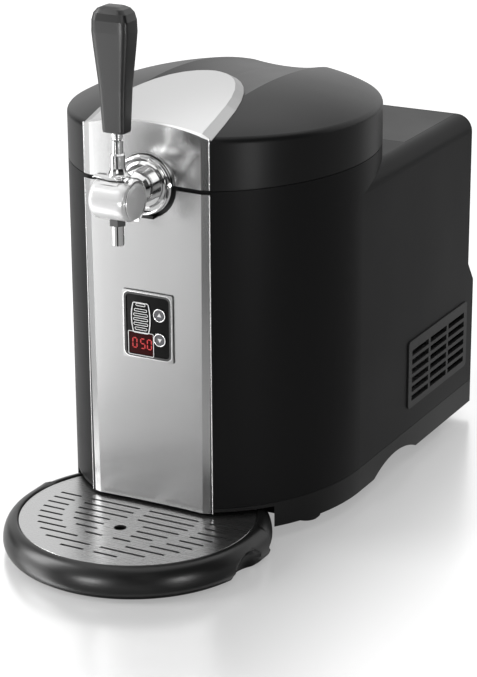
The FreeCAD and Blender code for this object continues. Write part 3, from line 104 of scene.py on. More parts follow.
def maths(tree, operation, *values):
    return fed(tree, add(tree, "ShaderNodeMath", operation=operation), values)


def vectors(tree, operation, *values):
    return fed(tree, add(tree, "ShaderNodeVectorMath", operation=operation), values)


def eased_range(tree, value, low, high, start, stop):
    """Runs from start to stop, without corners, while the value runs from low to high."""
    item = add(tree, "ShaderNodeMapRange", interpolation_type="SMOOTHSTEP",
               From_Min=low, From_Max=high, To_Min=start, To_Max=stop)
    wire(tree, value, item.inputs["Value"])
    return item.outputs[0]


def object_place(tree):
    return add(tree, "ShaderNodeTexCoord").outputs["Object"]


# ---------------------------------------------------------------- surface effects

NUMBER, COLOUR, VECTOR = "NodeSocketFloat", "NodeSocketColor", "NodeSocketVector"


def effect(name, inputs):
    """A node group; inputs are name to (type, default), results are those of every effect."""
    tree = bpy.data.node_groups.new(name, "ShaderNodeTree")
    for title, (kind, default) in inputs.items():
        socket = tree.interface.new_socket(title, in_out="INPUT", socket_type=kind)
        socket.default_value = default
    for title, kind in (("Colour", COLOUR), ("Roughness", NUMBER), ("Normal", VECTOR)):
        tree.interface.new_socket(title, in_out="OUTPUT", socket_type=kind)
    return tree, tree.nodes.new("NodeGroupInput"), tree.nodes.new("NodeGroupOutput")


def end_effect(tree, given, result, amount, rough, height, distance):
    """Tints the colour by an amount and raises bumps by a height, then wires the results."""
    tint = vectors(tree, "SCALE", given.outputs["Colour"], amount)
    bump = add(tree, "ShaderNodeBump", Distance=distance)
    wire(tree, given.outputs["Strength"], bump.inputs["Strength"])
    wire(tree, height, bump.inputs["Height"])
    wire(tree, tint, result.inputs["Colour"])
    wire(tree, rough, result.inputs["Roughness"])
    wire(tree, bump.outputs[0], result.inputs["Normal"])
    return tree


SHEEN = 0.16                # how far the slow patches roughen a moulding
GRAIN_HEIGHT, SCRATCH_HEIGHT = 0.0003, 0.0002


def moulded_grain():
    """Fine spark-eroded grain with slow patches of sheen."""
    tree, given, result = effect("moulded_grain", {
        "Colour": (COLOUR, (0.02, 0.02, 0.02, 1)), "Spread": (NUMBER, 0.15),
        "Grain": (NUMBER, 1400.0), "Roughness": (NUMBER, 0.45), "Strength": (NUMBER, 0.08)})
    where = object_place(tree)
    fine = add(tree, "ShaderNodeTexNoise", Detail=2.0)
    wire(tree, where, fine.inputs["Vector"])
    wire(tree, given.outputs["Grain"], fine.inputs["Scale"])
    slow = add(tree, "ShaderNodeTexNoise", Scale=9.0, Detail=3.0)
    wire(tree, where, slow.inputs["Vector"])
    rough = maths(tree, "MULTIPLY_ADD", slow.outputs["Fac"], SHEEN, given.outputs["Roughness"])
    centred = maths(tree, "SUBTRACT", fine.outputs["Fac"], 0.5)
    amount = maths(tree, "MULTIPLY_ADD", centred, given.outputs["Spread"], 1.0)
    return end_effect(tree, given, result, amount, rough, fine.outputs["Fac"], GRAIN_HEIGHT)


def brushed_lines():
    """Long scratches of a brushed sheet; Stretch is small along the brushing."""
    tree, given, result = effect("brushed_lines", {
        "Colour": (COLOUR, (0.6, 0.6, 0.6, 1)), "Stretch": (VECTOR, (1.0, 1.0, 0.02)),
        "Scale": (NUMBER, 1500.0), "Roughness": (NUMBER, 0.3), "Spread": (NUMBER, 0.2),
        "Strength": (NUMBER, 0.1)})
    lines = add(tree, "ShaderNodeTexNoise", Detail=4.0, Roughness=0.7)
    along = vectors(tree, "MULTIPLY", object_place(tree), given.outputs["Stretch"])
    wire(tree, along, lines.inputs["Vector"])
    wire(tree, given.outputs["Scale"], lines.inputs["Scale"])
    centred = maths(tree, "SUBTRACT", lines.outputs["Fac"], 0.5)
    spread = given.outputs["Spread"]
    amount = maths(tree, "MULTIPLY_ADD", centred, spread, 1.0)
    rough = maths(tree, "MULTIPLY_ADD", centred, spread, given.outputs["Roughness"])
    return end_effect(tree, given, result, amount, rough, lines.outputs["Fac"], SCRATCH_HEIGHT)


GRAIN = moulded_grain()
BRUSHED = brushed_lines()


# ---------------------------------------------------------------- materials

def grey(level, blue=0.0):
    return (level, level, level + blue, 1)


def finish(name, tree_used, values, **shader):
    """A material: a Principled shader fed by an effect; constants are on the shader's sockets."""
    material = bpy.data.materials.new(name)
    material.use_nodes = True
    tree = material.node_tree
    principled = tree.nodes["Principled BSDF"]
    for title, value in shader.items():
        principled.inputs[title.replace("_", " ")].default_value = value
    group = tree.nodes.new("ShaderNodeGroup")
    group.node_tree = tree_used
    for title, value in values.items():
        group.inputs[title].default_value = value
    wire(tree, group.outputs["Colour"], principled.inputs["Base Color"])
    wire(tree, group.outputs["Roughness"], principled.inputs["Roughness"])
    wire(tree, group.outputs["Normal"], principled.inputs["Normal"])
    material.diffuse_color = values["Colour"]
    return material


def moulded(name, colour, rough, specular=0.5, metal=0.0, **values):
    """Anything with an even grain; values are the effect's other sockets."""
    return finish(name, GRAIN, {"Colour": colour, "Roughness": rough, **values},
                  Specular_IOR_Level=specular, Metallic=metal)


def brushed(name, level, stretch, rough, spread, strength, metal=1.0):
    return finish(name, BRUSHED, {
        "Colour": grey(level), "Stretch": stretch, "Roughness": rough, "Spread": spread,
        "Strength": strength}, Metallic=metal)


def lit(material, colour, strength):
    """Lets a material glow."""
    shader = material.node_tree.nodes["Principled BSDF"]
    shader.inputs["Emission Color"].default_value = colour
    shader.inputs["Emission Strength"].default_value = strength
    return material


# plastics and rubber
body_black = moulded("body_black", grey(0.012, 0.0003), 0.30, 0.08, Strength=0.04)
lid_black = moulded("lid_black", grey(0.008, 0.0002), 0.26, 0.21, Strength=0.04)
base_black = moulded("base_black", grey(0.007), 0.34, 0.25, Strength=0.04)
tray_black = moulded("tray_black", grey(0.007), 0.24, 0.45, Strength=0.02)
grille_black = moulded("grille_black", grey(0.016), 0.40, Strength=0.05)
inner_black = moulded("inner_black", grey(0.02), 0.5, Strength=0.05)
handle_black = moulded("handle_black", grey(0.007), 0.30, 0.65,
                       Grain=900.0, Spread=0.5, Strength=0.12)
key_black = moulded("key_black", grey(0.09, 0.01), 0.25, Strength=0.02)
bezel_black = moulded("bezel_black", grey(0.004), 0.10, 0.15, Strength=0.01)
bevel_grey = moulded("bevel_grey", grey(0.035), 0.28, Strength=0.01)
rubber = moulded("rubber", grey(0.02), 0.65, Grain=700.0, Strength=0.2)
liner_grey = moulded("liner_grey", grey(0.34), 0.4, Strength=0.04)
foam = moulded("foam", (0.72, 0.69, 0.58, 1), 0.8, Grain=500.0, Spread=0.4, Strength=0.5)
silicone = moulded("silicone", grey(0.62), 0.4, Grain=400.0)

# electrics and the lit read-out
board_green = moulded("board_green", (0.015, 0.11, 0.04, 1), 0.3, Grain=300.0, Spread=0.5)
ceramic = moulded("ceramic", grey(0.8), 0.35, Grain=600.0)
legend_white = moulded("legend_white", grey(0.75), 0.4, Spread=0.04)
display_red = lit(moulded("display_red", (0.014, 0.001, 0.001, 1), 0.08, 0.1),
                  (0.20, 0.003, 0.004, 1), 0.08)
digit_red = lit(moulded("digit_red", (0.4, 0.01, 0.015, 1), 0.3), (1.0, 0.03, 0.02, 1), 0.25)

# metals
tap_satin = moulded("tap_satin", grey(0.76), 0.22, metal=0.35, Spread=0.04, Strength=0.02)
chrome = moulded("chrome", grey(0.74), 0.03, metal=1.0, Spread=0.03, Grain=300.0, Strength=0.01)
# Light metal of the bezel's rim and the key rings; on the rods along the brushed front's folds
# its lighter colour is a painted highlight.
bright_trim_and_painted_highlight = moulded("bright_trim_and_painted_highlight", grey(0.8), 0.15, metal=0.8, Spread=0.03)
plain_steel = moulded("plain_steel", grey(0.55), 0.22, metal=1.0, Grain=500.0)
nut_dark = moulded("nut_dark", grey(0.12), 0.25, metal=1.0, Grain=500.0)
brass = moulded("brass", (0.72, 0.52, 0.24, 1), 0.2, metal=1.0, Grain=500.0)
aluminium = moulded("aluminium", grey(0.72), 0.28, metal=1.0, Grain=400.0)
steel_front = brushed("steel_front", 0.36, (1.0, 1.0, 0.012), 0.26, 0.035, 0.012)
steel_fascia = brushed("steel_fascia", 0.60, (1.0, 1.0, 0.012), 0.17, 0.05, 0.02)
steel_grille = brushed("steel_grille", 0.55, (0.015, 1.0, 1.0), 0.28, 0.10, 0.08)
tongue_silver = brushed("tongue_silver", 0.60, (0.03, 1.0, 1.0), 0.44, 0.05, 0.03, 0.9)
trim_grey = brushed("trim_grey", 0.36, (1.0, 0.05, 1.0), 0.34, 0.06, 0.03, 0.7)

FINISHES = {
    body_black: ("body_shell", "rear_cover"),
    lid_black: ("lid_shell",),
    base_black: ("base_pan", "tap_bracket", "rear_top_plate", "hinge_ears"),
    tray_black: ("drip_tray",),
    grille_black: ("side_grille_right", "side_grille_left"),
    inner_black: ("key_switches", "display_module", "fan_frame", "fan_rotor", "power_inlet",
                  "switch_housing", "board_posts"),
    handle_black: ("lever_handle",),
    key_black: ("button_up", "button_down", "power_rocker"),
    bezel_black: ("control_bezel",),
    display_red: ("display_window",),
    rubber: ("rubber_feet", "keg_pad", "lid_seal"),
    liner_grey: ("lid_liner", "chamber_collar", "keg_coupler"),
    silicone: ("beer_line",),
    foam: ("lid_foam", "insulation_jacket"),
    board_green: ("control_board",),
    ceramic: ("peltier_module",),
    tap_satin: ("tap_barrel",),
    chrome: ("tap_neck", "tap_flange", "spout", "tap_saddle", "saddle_screw", "lever_collar",
             "lever_stem"),
    nut_dark: ("spout_nut",),
    plain_steel: ("valve_spindle", "tap_shank", "hinge_pins", "power_supply", "cover_screws",
                  "base_screws"),
    brass: ("shank_nut", "inlet_pins"),
    aluminium: ("chamber_liner", "cold_block", "heat_sink"),
    steel_front: ("front_panel",),
    steel_fascia: ("lid_fascia",),
    steel_grille: ("drip_grille",),
    tongue_silver: ("tongue_plate",),
    trim_grey: ("tongue_rim",),
}
for material, names in FINISHES.items():
    for name in names:
        mesh = nodes[name].data
        mesh.materials.clear()
        mesh.materials.append(material)


# ---------------------------------------------------------------- drawing helpers, in millimetres

def finished(name, form, material, body="housing", replaced=()):
    """Closes a drawn form into a named piece that moves with its body."""
    bmesh.ops.remove_doubles(form, verts=form.verts, dist=0.0005)
    bmesh.ops.recalc_face_normals(form, faces=form.faces)
    bmesh.ops.scale(form, vec=(MM, MM, MM), verts=form.verts)
    mesh = bpy.data.meshes.new(name)
    form.to_mesh(mesh)
    form.free()
    mesh.polygons.foreach_set("use_smooth", [True] * len(mesh.polygons))
    mesh.set_sharp_from_angle(angle=radians(40))
    mesh.materials.append(material)
    piece = bpy.data.objects.new(name, mesh)
    bpy.context.scene.collection.objects.link(piece)
    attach(piece, body)
    if replaced:
        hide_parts(*replaced)
    return piece


def turned_by(form, angle, axis, verts=None):
    """Turns the form, or some of it, about an axis through the origin."""
    bmesh.ops.rotate(form, cent=(0, 0, 0), matrix=Matrix.Rotation(angle, 3, axis),
                     verts=form.verts if verts is None else verts)


def rounded_face(form, x, z, width, height, corner):
    """A rounded rectangle in the XZ plane, facing the front."""
    corners = bmesh.ops.create_grid(form, x_segments=1, y_segments=1, size=0.5)["verts"]
    bmesh.ops.scale(form, vec=(width, height, 1), verts=corners)
    corners = bmesh.ops.bevel(form, geom=corners, affect="VERTICES", offset=corner, segments=6,
                              profile=0.5, material=-1)["verts"]
    turned_by(form, pi / 2, "X", corners)
    bmesh.ops.translate(form, vec=(x, 0, z), verts=corners)
    return corners[0].link_faces[0]


def outline_face(form, x, z, width, height, corner, line):
    """The same rectangle as a thin closed line."""
    face = rounded_face(form, x, z, width, height, corner)
    bmesh.ops.inset_individual(form, faces=[face], thickness=line, use_even_offset=True)
    bmesh.ops.delete(form, geom=[face], context="FACES")


def printed(name, form, front_y, depth, material, body="housing"):
    """Flat faces thickened to depth, their front standing at front_y."""
    bmesh.ops.solidify(form, geom=form.faces[:], thickness=depth)
    nearest = min(vert.co.y for vert in form.verts)
    bmesh.ops.translate(form, vec=(0, front_y - nearest, 0), verts=form.verts)
    finished(name, form, material, body)


def lathed(form, profile, centre, axis, steps):
    """Turns a line of (distance along the axis, radius) about an axis through centre."""
    line = [form.verts.new((along, radius, 0)) for along, radius in profile]
    edges = [form.edges.new(pair) for pair in zip(line, line[1:])]
    bmesh.ops.spin(form, geom=line + edges, cent=(0, 0, 0), axis=(1, 0, 0), angle=2 * pi,
                   steps=steps, use_merge=True)
    turn = Vector((1, 0, 0)).rotation_difference(Vector(axis)).to_matrix()
    bmesh.ops.rotate(form, cent=(0, 0, 0), matrix=turn, verts=form.verts)
    bmesh.ops.translate(form, vec=centre, verts=form.verts)


def round_piece(name, profile, centre, axis, material, body="housing", steps=64):
    form = bmesh.new()
    lathed(form, profile, centre, axis, steps)
    finished(name, form, material, body)


# ---------------------------------------------------------------- control panel

PANEL_Y = -123.4                        # front of the bezel
PANEL_Z = 184.25                        # its middle
WINDOW_X, WINDOW_Z = -6.4, 168.2        # middle of the read-out's window
WINDOW_LINE = (24.0, 20.4, 1.4)         # width, height and corner of the line around it
KEG_X, KEG_Z = -6.2, 190.4              # middle of the pictogram
KEG_WIDTH, KEG_HEIGHT, KEG_BULGE = 14.4, 26.4, 0.28
KEG_CAP = (201.6, 9.0, 2.5, 1.1)        # its place up, width, height and corner
KEG_LEVELS = ((196.9, 12.2), (192.9, 13.6), (189.1, 13.8), (185.1, 13.6), (181.1, 11.6))
KEY_X = 11.2
KEYS = (("up", 195.0), ("down", 174.0))
THIN_LINE = 0.55


def frame_between(form, outer, inner):
    """Flat frame between two rounded rectangles of (width, height, corner) on the bezel."""
    loops = []
    for width, height, corner in (outer, inner):
        face = rounded_face(form, 0, PANEL_Z, width, height, corner)
        loops += list(face.edges)
        bmesh.ops.delete(form, geom=[face], context="FACES_ONLY")
    bmesh.ops.bridge_loops(form, edges=loops)


def bezel_frames():
    """Steel around the bezel's round corners, bright rim and dark bevel."""
    for name, outer, inner, stands_out, material in (
            ("bezel_surround", (47.0, 58.1, 1.4), (44.5, 55.6, 5.4), 0.1, steel_front),
            ("bezel_rim", (45.1, 56.2, 5.7), (43.9, 55.0, 5.1), 0.25, bright_trim_and_painted_highlight),
            ("bezel_bevel", (44.0, 55.1, 5.2), (40.2, 51.3, 3.4), 0.15, bevel_grey)):
        ring = bmesh.new()
        frame_between(ring, outer, inner)
        printed(name, ring, PANEL_Y - stands_out, 0.7, material)


def panel_print():
    """Line around the read-out's window, and a keg with its levels."""
    outline = bmesh.new()
    outline_face(outline, WINDOW_X, WINDOW_Z, *WINDOW_LINE, THIN_LINE)
    printed("window_frame", outline, PANEL_Y - 0.25, 0.2, legend_white)
    keg = bmesh.new()
    outline_face(keg, 0, 0, KEG_WIDTH, KEG_HEIGHT, 1.6, 0.8)
    bmesh.ops.subdivide_edges(keg, edges=keg.edges[:], cuts=7, use_grid_fill=True)
    for vert in keg.verts:
        vert.co.x *= 1 + KEG_BULGE * (1 - (vert.co.z / (KEG_HEIGHT / 2)) ** 2)
    bmesh.ops.translate(keg, vec=(KEG_X, 0, KEG_Z), verts=keg.verts)
    outline_face(keg, KEG_X, *KEG_CAP, THIN_LINE)
    for height, width in KEG_LEVELS:
        outline_face(keg, KEG_X, height, width, 2.6, 1.2, THIN_LINE)
    printed("keg_pictogram", keg, PANEL_Y - 0.2, 0.15, legend_white)


# A segment is (across, up, lies flat) in half digits; a digit is its place and its lit segments.
SEGMENTS = {"a": (0, 1, True), "g": (0, 0, True), "d": (0, -1, True), "f": (-1, 0.5, False),
            "b": (1, 0.5, False), "e": (-1, -0.5, False), "c": (1, -0.5, False)}
READ_OUT = ((-12.6, "abcdef"), (-5.2, "afgcd"), (1.0, "abcdef"))
DIGIT_HALF_WIDTH, DIGIT_HALF_HEIGHT = 1.9, 4.1
FLAT_SEGMENT, UPRIGHT_SEGMENT = (2.8, 0.9), (0.9, 3.3)
DIGIT_Y = -122.75


def read_out():
    """Three plain digits."""
    form = bmesh.new()
    for place, lit_ones in READ_OUT:
        for name in lit_ones:
            across, up, flat = SEGMENTS[name]
            size = FLAT_SEGMENT if flat else UPRIGHT_SEGMENT
            rounded_face(form, place + DIGIT_HALF_WIDTH * across,
                         WINDOW_Z + DIGIT_HALF_HEIGHT * up, *size, 0.4)
    printed("read_out_digits", form, DIGIT_Y, 0.12, digit_red)


EDGE_LEVELS = (("panel", "housing", 29.2, 301.3), ("fascia", "lid", 305.3, 347.4))
EDGE_RODS = ((50.8, -121.85, 0.32), (57.1, -120.95, 0.45))      # place across, front, radius


def edge_lines():
    """Thin rods along the brushed front's folds and its outer sides, lighter than the steel:
    painted highlight on the rounded edges.
    """
    for part, body, low, high in EDGE_LEVELS:
        form = bmesh.new()
        for side in (-1, 1):
            for across, front, radius in EDGE_RODS:
                rod = bmesh.ops.create_cone(form, cap_ends=True, segments=12, radius1=radius,
                                            radius2=radius, depth=high - low)["verts"]
                bmesh.ops.translate(form, vec=(side * across, front, (low + high) / 2), verts=rod)
        finished(f"{part}_edges", form, bright_trim_and_painted_highlight, body)


RING_SECTION = ((0, 4.75), (0, 5.55), (-0.3, 5.55), (-0.45, 5.3), (-0.45, 4.95), (-0.3, 4.75),
                (0, 4.75))
ARROW_RADIUS = 2.2


def key_marks():
    """A light ring around each of the two keys and a white arrow on it."""
    for name, height in KEYS:
        round_piece(f"key_ring_{name}", RING_SECTION, (KEY_X, PANEL_Y, height), (0, 1, 0),
                    bright_trim_and_painted_highlight, steps=48)
        arrow = bmesh.new()
        bmesh.ops.create_circle(arrow, cap_ends=True, radius=ARROW_RADIUS, segments=3)
        turned_by(arrow, pi / 2, "X")
        points_up = max(vert.co.z for vert in arrow.verts) > 0.75 * ARROW_RADIUS
        if points_up != (name == "up"):
            turned_by(arrow, pi, "Y")
        bmesh.ops.translate(arrow, vec=(KEY_X, 0, height), verts=arrow.verts)
        printed(f"key_arrow_{name}", arrow, PANEL_Y - 0.2, 0.15, legend_white, f"key_{name}")


bezel_frames()
panel_print()
read_out()
edge_lines()
key_marks()


# ---------------------------------------------------------------- tap

# Sections of the handle from below, as (height, width, depth).
HANDLE_SECTIONS = (
    (0, 18.4, 13.0), (0.6, 19.4, 14.0), (2, 19.8, 14.4), (35, 23.4, 16.8), (67, 30.2, 20.8),
    (79, 32.4, 22.0), (88, 31.8, 21.6), (93.6, 28.8, 19.6), (97.0, 23.0, 16.0),
    (98.7, 15.0, 10.5), (99.0, 7.0, 5.5))
LEVER_Y = -164                          # axis of stem and handle
HANDLE_Z = 355.6                        # foot of the handle


def smooth_handle():
    """Paddle handle: rounded sections that widen upwards to a soft shoulder and a crowned top."""
    form = bmesh.new()
    face = rounded_face(form, 0, 0, 1, 1, 0.2)
    turned_by(form, -pi / 2, "X")
    before = HANDLE_SECTIONS[0]
    bmesh.ops.scale(form, vec=(before[1], before[2], 1), verts=form.verts)
    for height, across, along in HANDLE_SECTIONS[1:]:
        made = bmesh.ops.extrude_face_region(form, geom=[face])["geom"]
        face = next(item for item in made if isinstance(item, bmesh.types.BMFace))
        ring = list(face.verts)
        bmesh.ops.scale(form, vec=(across / before[1], along / before[2], 1), verts=ring)
        bmesh.ops.translate(form, vec=(0, 0, height - before[0]), verts=ring)
        before = (height, across, along)
    bmesh.ops.translate(form, vec=(0, LEVER_Y, HANDLE_Z), verts=form.verts)
    piece = finished("handle_grip", form, handle_black, "tap_lever", ("lever_handle",))
    smooth = piece.modifiers.new("smooth", "SUBSURF")
    smooth.levels = smooth.render_levels = 2


BARREL = (0, -169, 303.5)               # middle of the barrel, which lies across
LEFT_END = ((-18.4, 0), (-18.3, 6), (-17.6, 10), (-16.2, 13.2), (-14.2, 15.4), (-12.2, 16.2),
            (-10.6, 16.34), (-10.6, 16), (-10.6, 0))
RIGHT_END = ((10.6, 0), (10.6, 16.34), (14.2, 16.34), (15.8, 15.9), (17.0, 15.0), (17.5, 14.2),
             (17.5, 0))
# Shallow groove at the seam of the right end and the disc; its black is painted shade in the gap.
SEAM_SHADE = ((17.4, 0), (17.4, 13.9), (18.0, 13.9), (18.0, 0))
DISC = ((17.8, 0), (17.8, 13.8), (18.1, 14.3), (18.6, 14.2), (19.1, 13.4), (19.6, 10.5),
        (19.9, 6), (20.0, 0))
CHEEK_SECTION = ((13.3, 15.4), (13.3, 17.9), (13.9, 18.4), (16.4, 18.4), (17.9, 17.8),
                 (18.8, 16.4), (18.4, 14.9))
CHEEK_START, CHEEK_SWEEP = 28, 192      # degrees


def barrel_ends():
    """Soft left end, longer right end with a crowned disc and a narrow black groove at their seam
    as painted shade, cheek behind it.
    """
    for name, profile, material in (
            ("barrel_left_end", LEFT_END, tap_satin), ("barrel_right_end", RIGHT_END, tap_satin),
            ("barrel_seam_shade", SEAM_SHADE, inner_black), ("barrel_disc", DISC, tap_satin)):
        round_piece(name, profile, BARREL, (1, 0, 0), material)
    cheek = bmesh.new()
    corners = [cheek.verts.new((along, 0, radius)) for along, radius in CHEEK_SECTION]
    face = cheek.faces.new(corners)
    turned_by(cheek, radians(CHEEK_START), "X")
    bmesh.ops.spin(cheek, geom=[face], cent=(0, 0, 0), axis=(1, 0, 0),
                   angle=-radians(CHEEK_SWEEP), steps=48)
    bmesh.ops.translate(cheek, vec=BARREL, verts=cheek.verts)
    finished("barrel_cheek", cheek, chrome)


HOOD_LEFT, HOOD_RIGHT = -16.6, 13.0
HOOD_REAR = 32.0                        # degrees behind the top of the barrel
# Front edge of the hood, as (place across, degrees ahead of the top).
HOOD_EDGE = ((-16.6, 17.4), (-11.7, 18.8), (-6.6, 21.6), (0.4, 24.0), (5.0, 22.9), (10.0, 18.9),
             (13.0, 20.4))
HOOD_RIM, HOOD_CROWN, HOOD_ROUND = 17.3, 0.9, 2.0   # radius, rise and width of its round rim
BOSS = ((16.9, 0), (16.9, 10.2), (17.6, 10.0), (18.8, 8.6), (20.2, 7.4), (22.0, 6.7),
        (23.6, 6.4), (23.6, 0))
LIP_WIDTH, LIP_RADIUS = 16, 16.64
LIP_START, LIP_SWEEP = 8, 28            # degrees ahead of the top
SHADOW_INSET, SHADOW_RADIUS = 0.4, 16.92
SHADOW_BEHIND, SHADOW_SWEEP = 2, 3.2    # degrees behind the hood's edge, and on from there


def eased(table, at):
    """Value between the entries of a short table, without corners."""
    for (low, start), (high, stop) in zip(table, table[1:]):
        if at <= high:
            share = max(0.0, (at - low) / (high - low))
            return start + (stop - start) * (1 - cos(pi * share)) / 2
    return table[-1][1]


def bent_sheet(name, steps, bend, thickness, material, replaced=()):
    """A sheet around the barrel that swings with the lever.

    bend gives (place across, degrees ahead of the top, radius) for shares of width and length.
    """
    form = bmesh.new()
    bmesh.ops.create_grid(form, x_segments=steps[0], y_segments=steps[1], size=0.5)
    for vert in form.verts:
        x, turn, radius = bend(vert.co.x + 0.5, vert.co.y + 0.5)
        vert.co = (x, -radius * sin(radians(turn)), radius * cos(radians(turn)))
    bmesh.ops.recalc_face_normals(form, faces=form.faces)
    bmesh.ops.solidify(form, geom=form.faces[:], thickness=thickness)
    bmesh.ops.translate(form, vec=BARREL, verts=form.verts)
    finished(name, form, material, "tap_lever", replaced)


def hood_bend(width, length):
    """From the rear edge to the wavy front edge, rounded off at both sides."""
    x = HOOD_LEFT + width * (HOOD_RIGHT - HOOD_LEFT)
    front = eased(HOOD_EDGE, x)
    inwards = min(x - HOOD_LEFT, HOOD_RIGHT - x, HOOD_ROUND) / HOOD_ROUND
    return (x, front - (1 - length) * (front + HOOD_REAR),
            HOOD_RIM + HOOD_CROWN * (1 - (1 - inwards) ** 2))


def lip_bend(width, length):
    return LIP_WIDTH * (width - 0.5), LIP_START + LIP_SWEEP * length, LIP_RADIUS


def shadow_bend(width, length):
    """A narrow band of painted shadow along the wavy front edge."""
    x = HOOD_LEFT + SHADOW_INSET + width * (HOOD_RIGHT - HOOD_LEFT - SHADOW_INSET)
    return x, eased(HOOD_EDGE, x) - SHADOW_BEHIND + SHADOW_SWEEP * length, SHADOW_RADIUS


def hood():
    """Bright hood with a boss for the stem, satin lip below it and a dark strip of painted shadow
    along its edge.
    """
    bent_sheet("tap_hood", (36, 24), hood_bend, 0.55, chrome, ("tap_saddle",))
    round_piece("hood_boss", BOSS, (0, LEVER_Y, BARREL[2]), (0, 0, 1), chrome, "tap_lever")
    bent_sheet("hood_lip", (6, 12), lip_bend, 0.2, tap_satin)
    bent_sheet("hood_painted_shadow", (36, 2), shadow_bend, 0.12, inner_black)


FLANGE_Y = -127.6
FLANGE_SECTION = ((0, 22.0), (-0.8, 22.2), (-1.2, 22.9), (-0.8, 23.8), (0, 24.1), (0.3, 23.0),
                  (0, 22.0))

smooth_handle()
barrel_ends()
hood()
round_piece("flange_ring", FLANGE_SECTION, (0, FLANGE_Y, BARREL[2]), (0, 1, 0), chrome, steps=96)


# ---------------------------------------------------------------- drip tray

TRAY_Y, TRAY_REAR = -145.5, -60.0
NOSE_RADIUS, NOSE_OUT, NOSE_UP, NOSE_DOWN = 100.4, 10.6, 16.6, 11.0
OUTER_WALL = 99.5                       # what lies beyond this radius is the outer wall
SCOOP_FLOOR, SCOOP_DEPTH = 113.0, 15.0  # finger scoop: radius it is sunk from, and how far
SCOOP_HALF, SCOOP_HEIGHT = 20.0, 21.0
SCOOP_TURN = 5.5                        # degrees ahead of the tray's middle
SHOULDER = 24.0                         # straight sides reach this far behind the middle
# Lines of its half section as (height, radius), to which the nose is added.
TRAY_FOOT = ((0, 0), (0, 103.4))
TRAY_INSIDE = ((27.6, 99.6), (26.8, 98.4), (24.4, 98.4), (24.4, 94), (3, 89), (3, 0))
REAR_WALL = (84, 5, 21)                 # width, depth and height
REAR_WALL_PLACE = (0, TRAY_REAR - 2.6, 13.5)


def tray_profile():
    """Half section as (height, radius): flat foot, round nose, seat of the grille, bowl."""
    nose = []
    for turn in range(-66, 91, 6):
        rise = NOSE_UP if turn > 0 else NOSE_DOWN
        nose.append((NOSE_DOWN + rise * sin(radians(turn)),
                     NOSE_RADIUS + NOSE_OUT * cos(radians(turn))))
    return [*TRAY_FOOT, *nose, *TRAY_INSIDE]


def straightened(vert, side):
    """Lets the round sides run straight to the rear behind the tray's middle."""
    flat = Vector((vert.co.x, vert.co.y - TRAY_Y))
    if 0 < flat.y < SHOULDER:
        vert.co.x = side * flat.length


def scooped(vert, side):
    """Presses the outer wall inwards to the hollow of a finger scoop."""
    turn = side * radians(SCOOP_TURN)
    out = Vector((side * cos(turn), -side * sin(turn)))
    flat = Vector((vert.co.x, vert.co.y - TRAY_Y))
    across = flat.dot(out.orthogonal()) / SCOOP_HALF
    reach = 1 - across ** 2 - (vert.co.z / SCOOP_HEIGHT) ** 2
    if reach > 0 and flat.dot(out) > 0:
        limit = SCOOP_FLOOR - SCOOP_DEPTH * reach ** 0.5
        if flat.length > limit:
            flat *= limit / flat.length
            vert.co.x, vert.co.y = flat.x, flat.y + TRAY_Y


def round_tray():
    """Tray with a smooth round nose, two finger scoops and a straight closed rear."""
    form = bmesh.new()
    lathed(form, tray_profile(), (0, 0, 0), (0, 0, 1), 288)
    bmesh.ops.translate(form, vec=(0, TRAY_Y, 0), verts=form.verts)
    bmesh.ops.remove_doubles(form, verts=form.verts, dist=0.001)
    for vert in form.verts:
        if (vert.co.xy - Vector((0, TRAY_Y))).length > OUTER_WALL:
            side = 1 if vert.co.x > 0 else -1
            straightened(vert, side)
            scooped(vert, side)
    made = bmesh.ops.bisect_plane(form, geom=form.verts[:] + form.edges[:] + form.faces[:],
                                  plane_co=(0, TRAY_REAR, 0), plane_no=(0, 1, 0),
                                  clear_outer=True)
    rim = [item for item in made["geom_cut"] if isinstance(item, bmesh.types.BMEdge)]
    bmesh.ops.contextual_create(form, geom=rim)
    wall = bmesh.ops.create_cube(form, size=1)["verts"]
    bmesh.ops.scale(form, vec=REAR_WALL, verts=wall)
    bmesh.ops.translate(form, vec=REAR_WALL_PLACE, verts=wall)
    finished("tray_bowl", form, tray_black, "tray", ("drip_tray",))


round_tray()


# ---------------------------------------------------------------- floor and sky, in metres

FLOOR_HALF = 14
FLOOR_GLOW = 0.75                       # of the floor near the lamps, as the camera sees it
FAR_START, FAR_END = 0.9, 2.6           # where that rises to full white
FLOOR_LEFT, FLOOR_RIGHT = 0.30, 0.01    # glow of the floor as the brushed front mirrors it
MIRRORED_WAY = (1, -0.536, 0)           # across the front, followed down onto the floor
MIRRORED_FALL = 0.085
FOOT_MIDDLE, FOOT_HALF = (0, -0.02, 0), (0.07, 0.26, 0)
POLISH, POLISH_REACH = 0.55, 0.30
SKY_LIGHT = 0.26
SKY_LEFT, SKY_RIGHT = 0.75, 0.06        # of the sky in front, as polished parts mirror it
SKY_SIDES = (-0.9, 0.7)                 # where it falls from left to right
DIM_LEVEL, DIM_SHARE = 0.10, 0.12       # a dim band in it, just above the horizon
DIM_SPREAD = (0.06, 0.22)               # how far from its level it fades out
SKY_BEHIND = (0.25, 0.6)                # where the sky in front turns into the white one behind
WHITE = (1, 1, 1, 1)


def ray_is(tree, *kinds):
    """One for rays of the named kinds, else nought."""
    path = add(tree, "ShaderNodeLightPath")
    total = path.outputs[kinds[0]]
    for kind in kinds[1:]:
        total = maths(tree, "MAXIMUM", total, path.outputs[kind])
    return total


def mixed(tree, amount, first, second):
    item = add(tree, "ShaderNodeMixShader")
    wire(tree, amount, item.inputs[0])
    wire(tree, first.outputs[0], item.inputs[1])
    wire(tree, second.outputs[0], item.inputs[2])
    return item


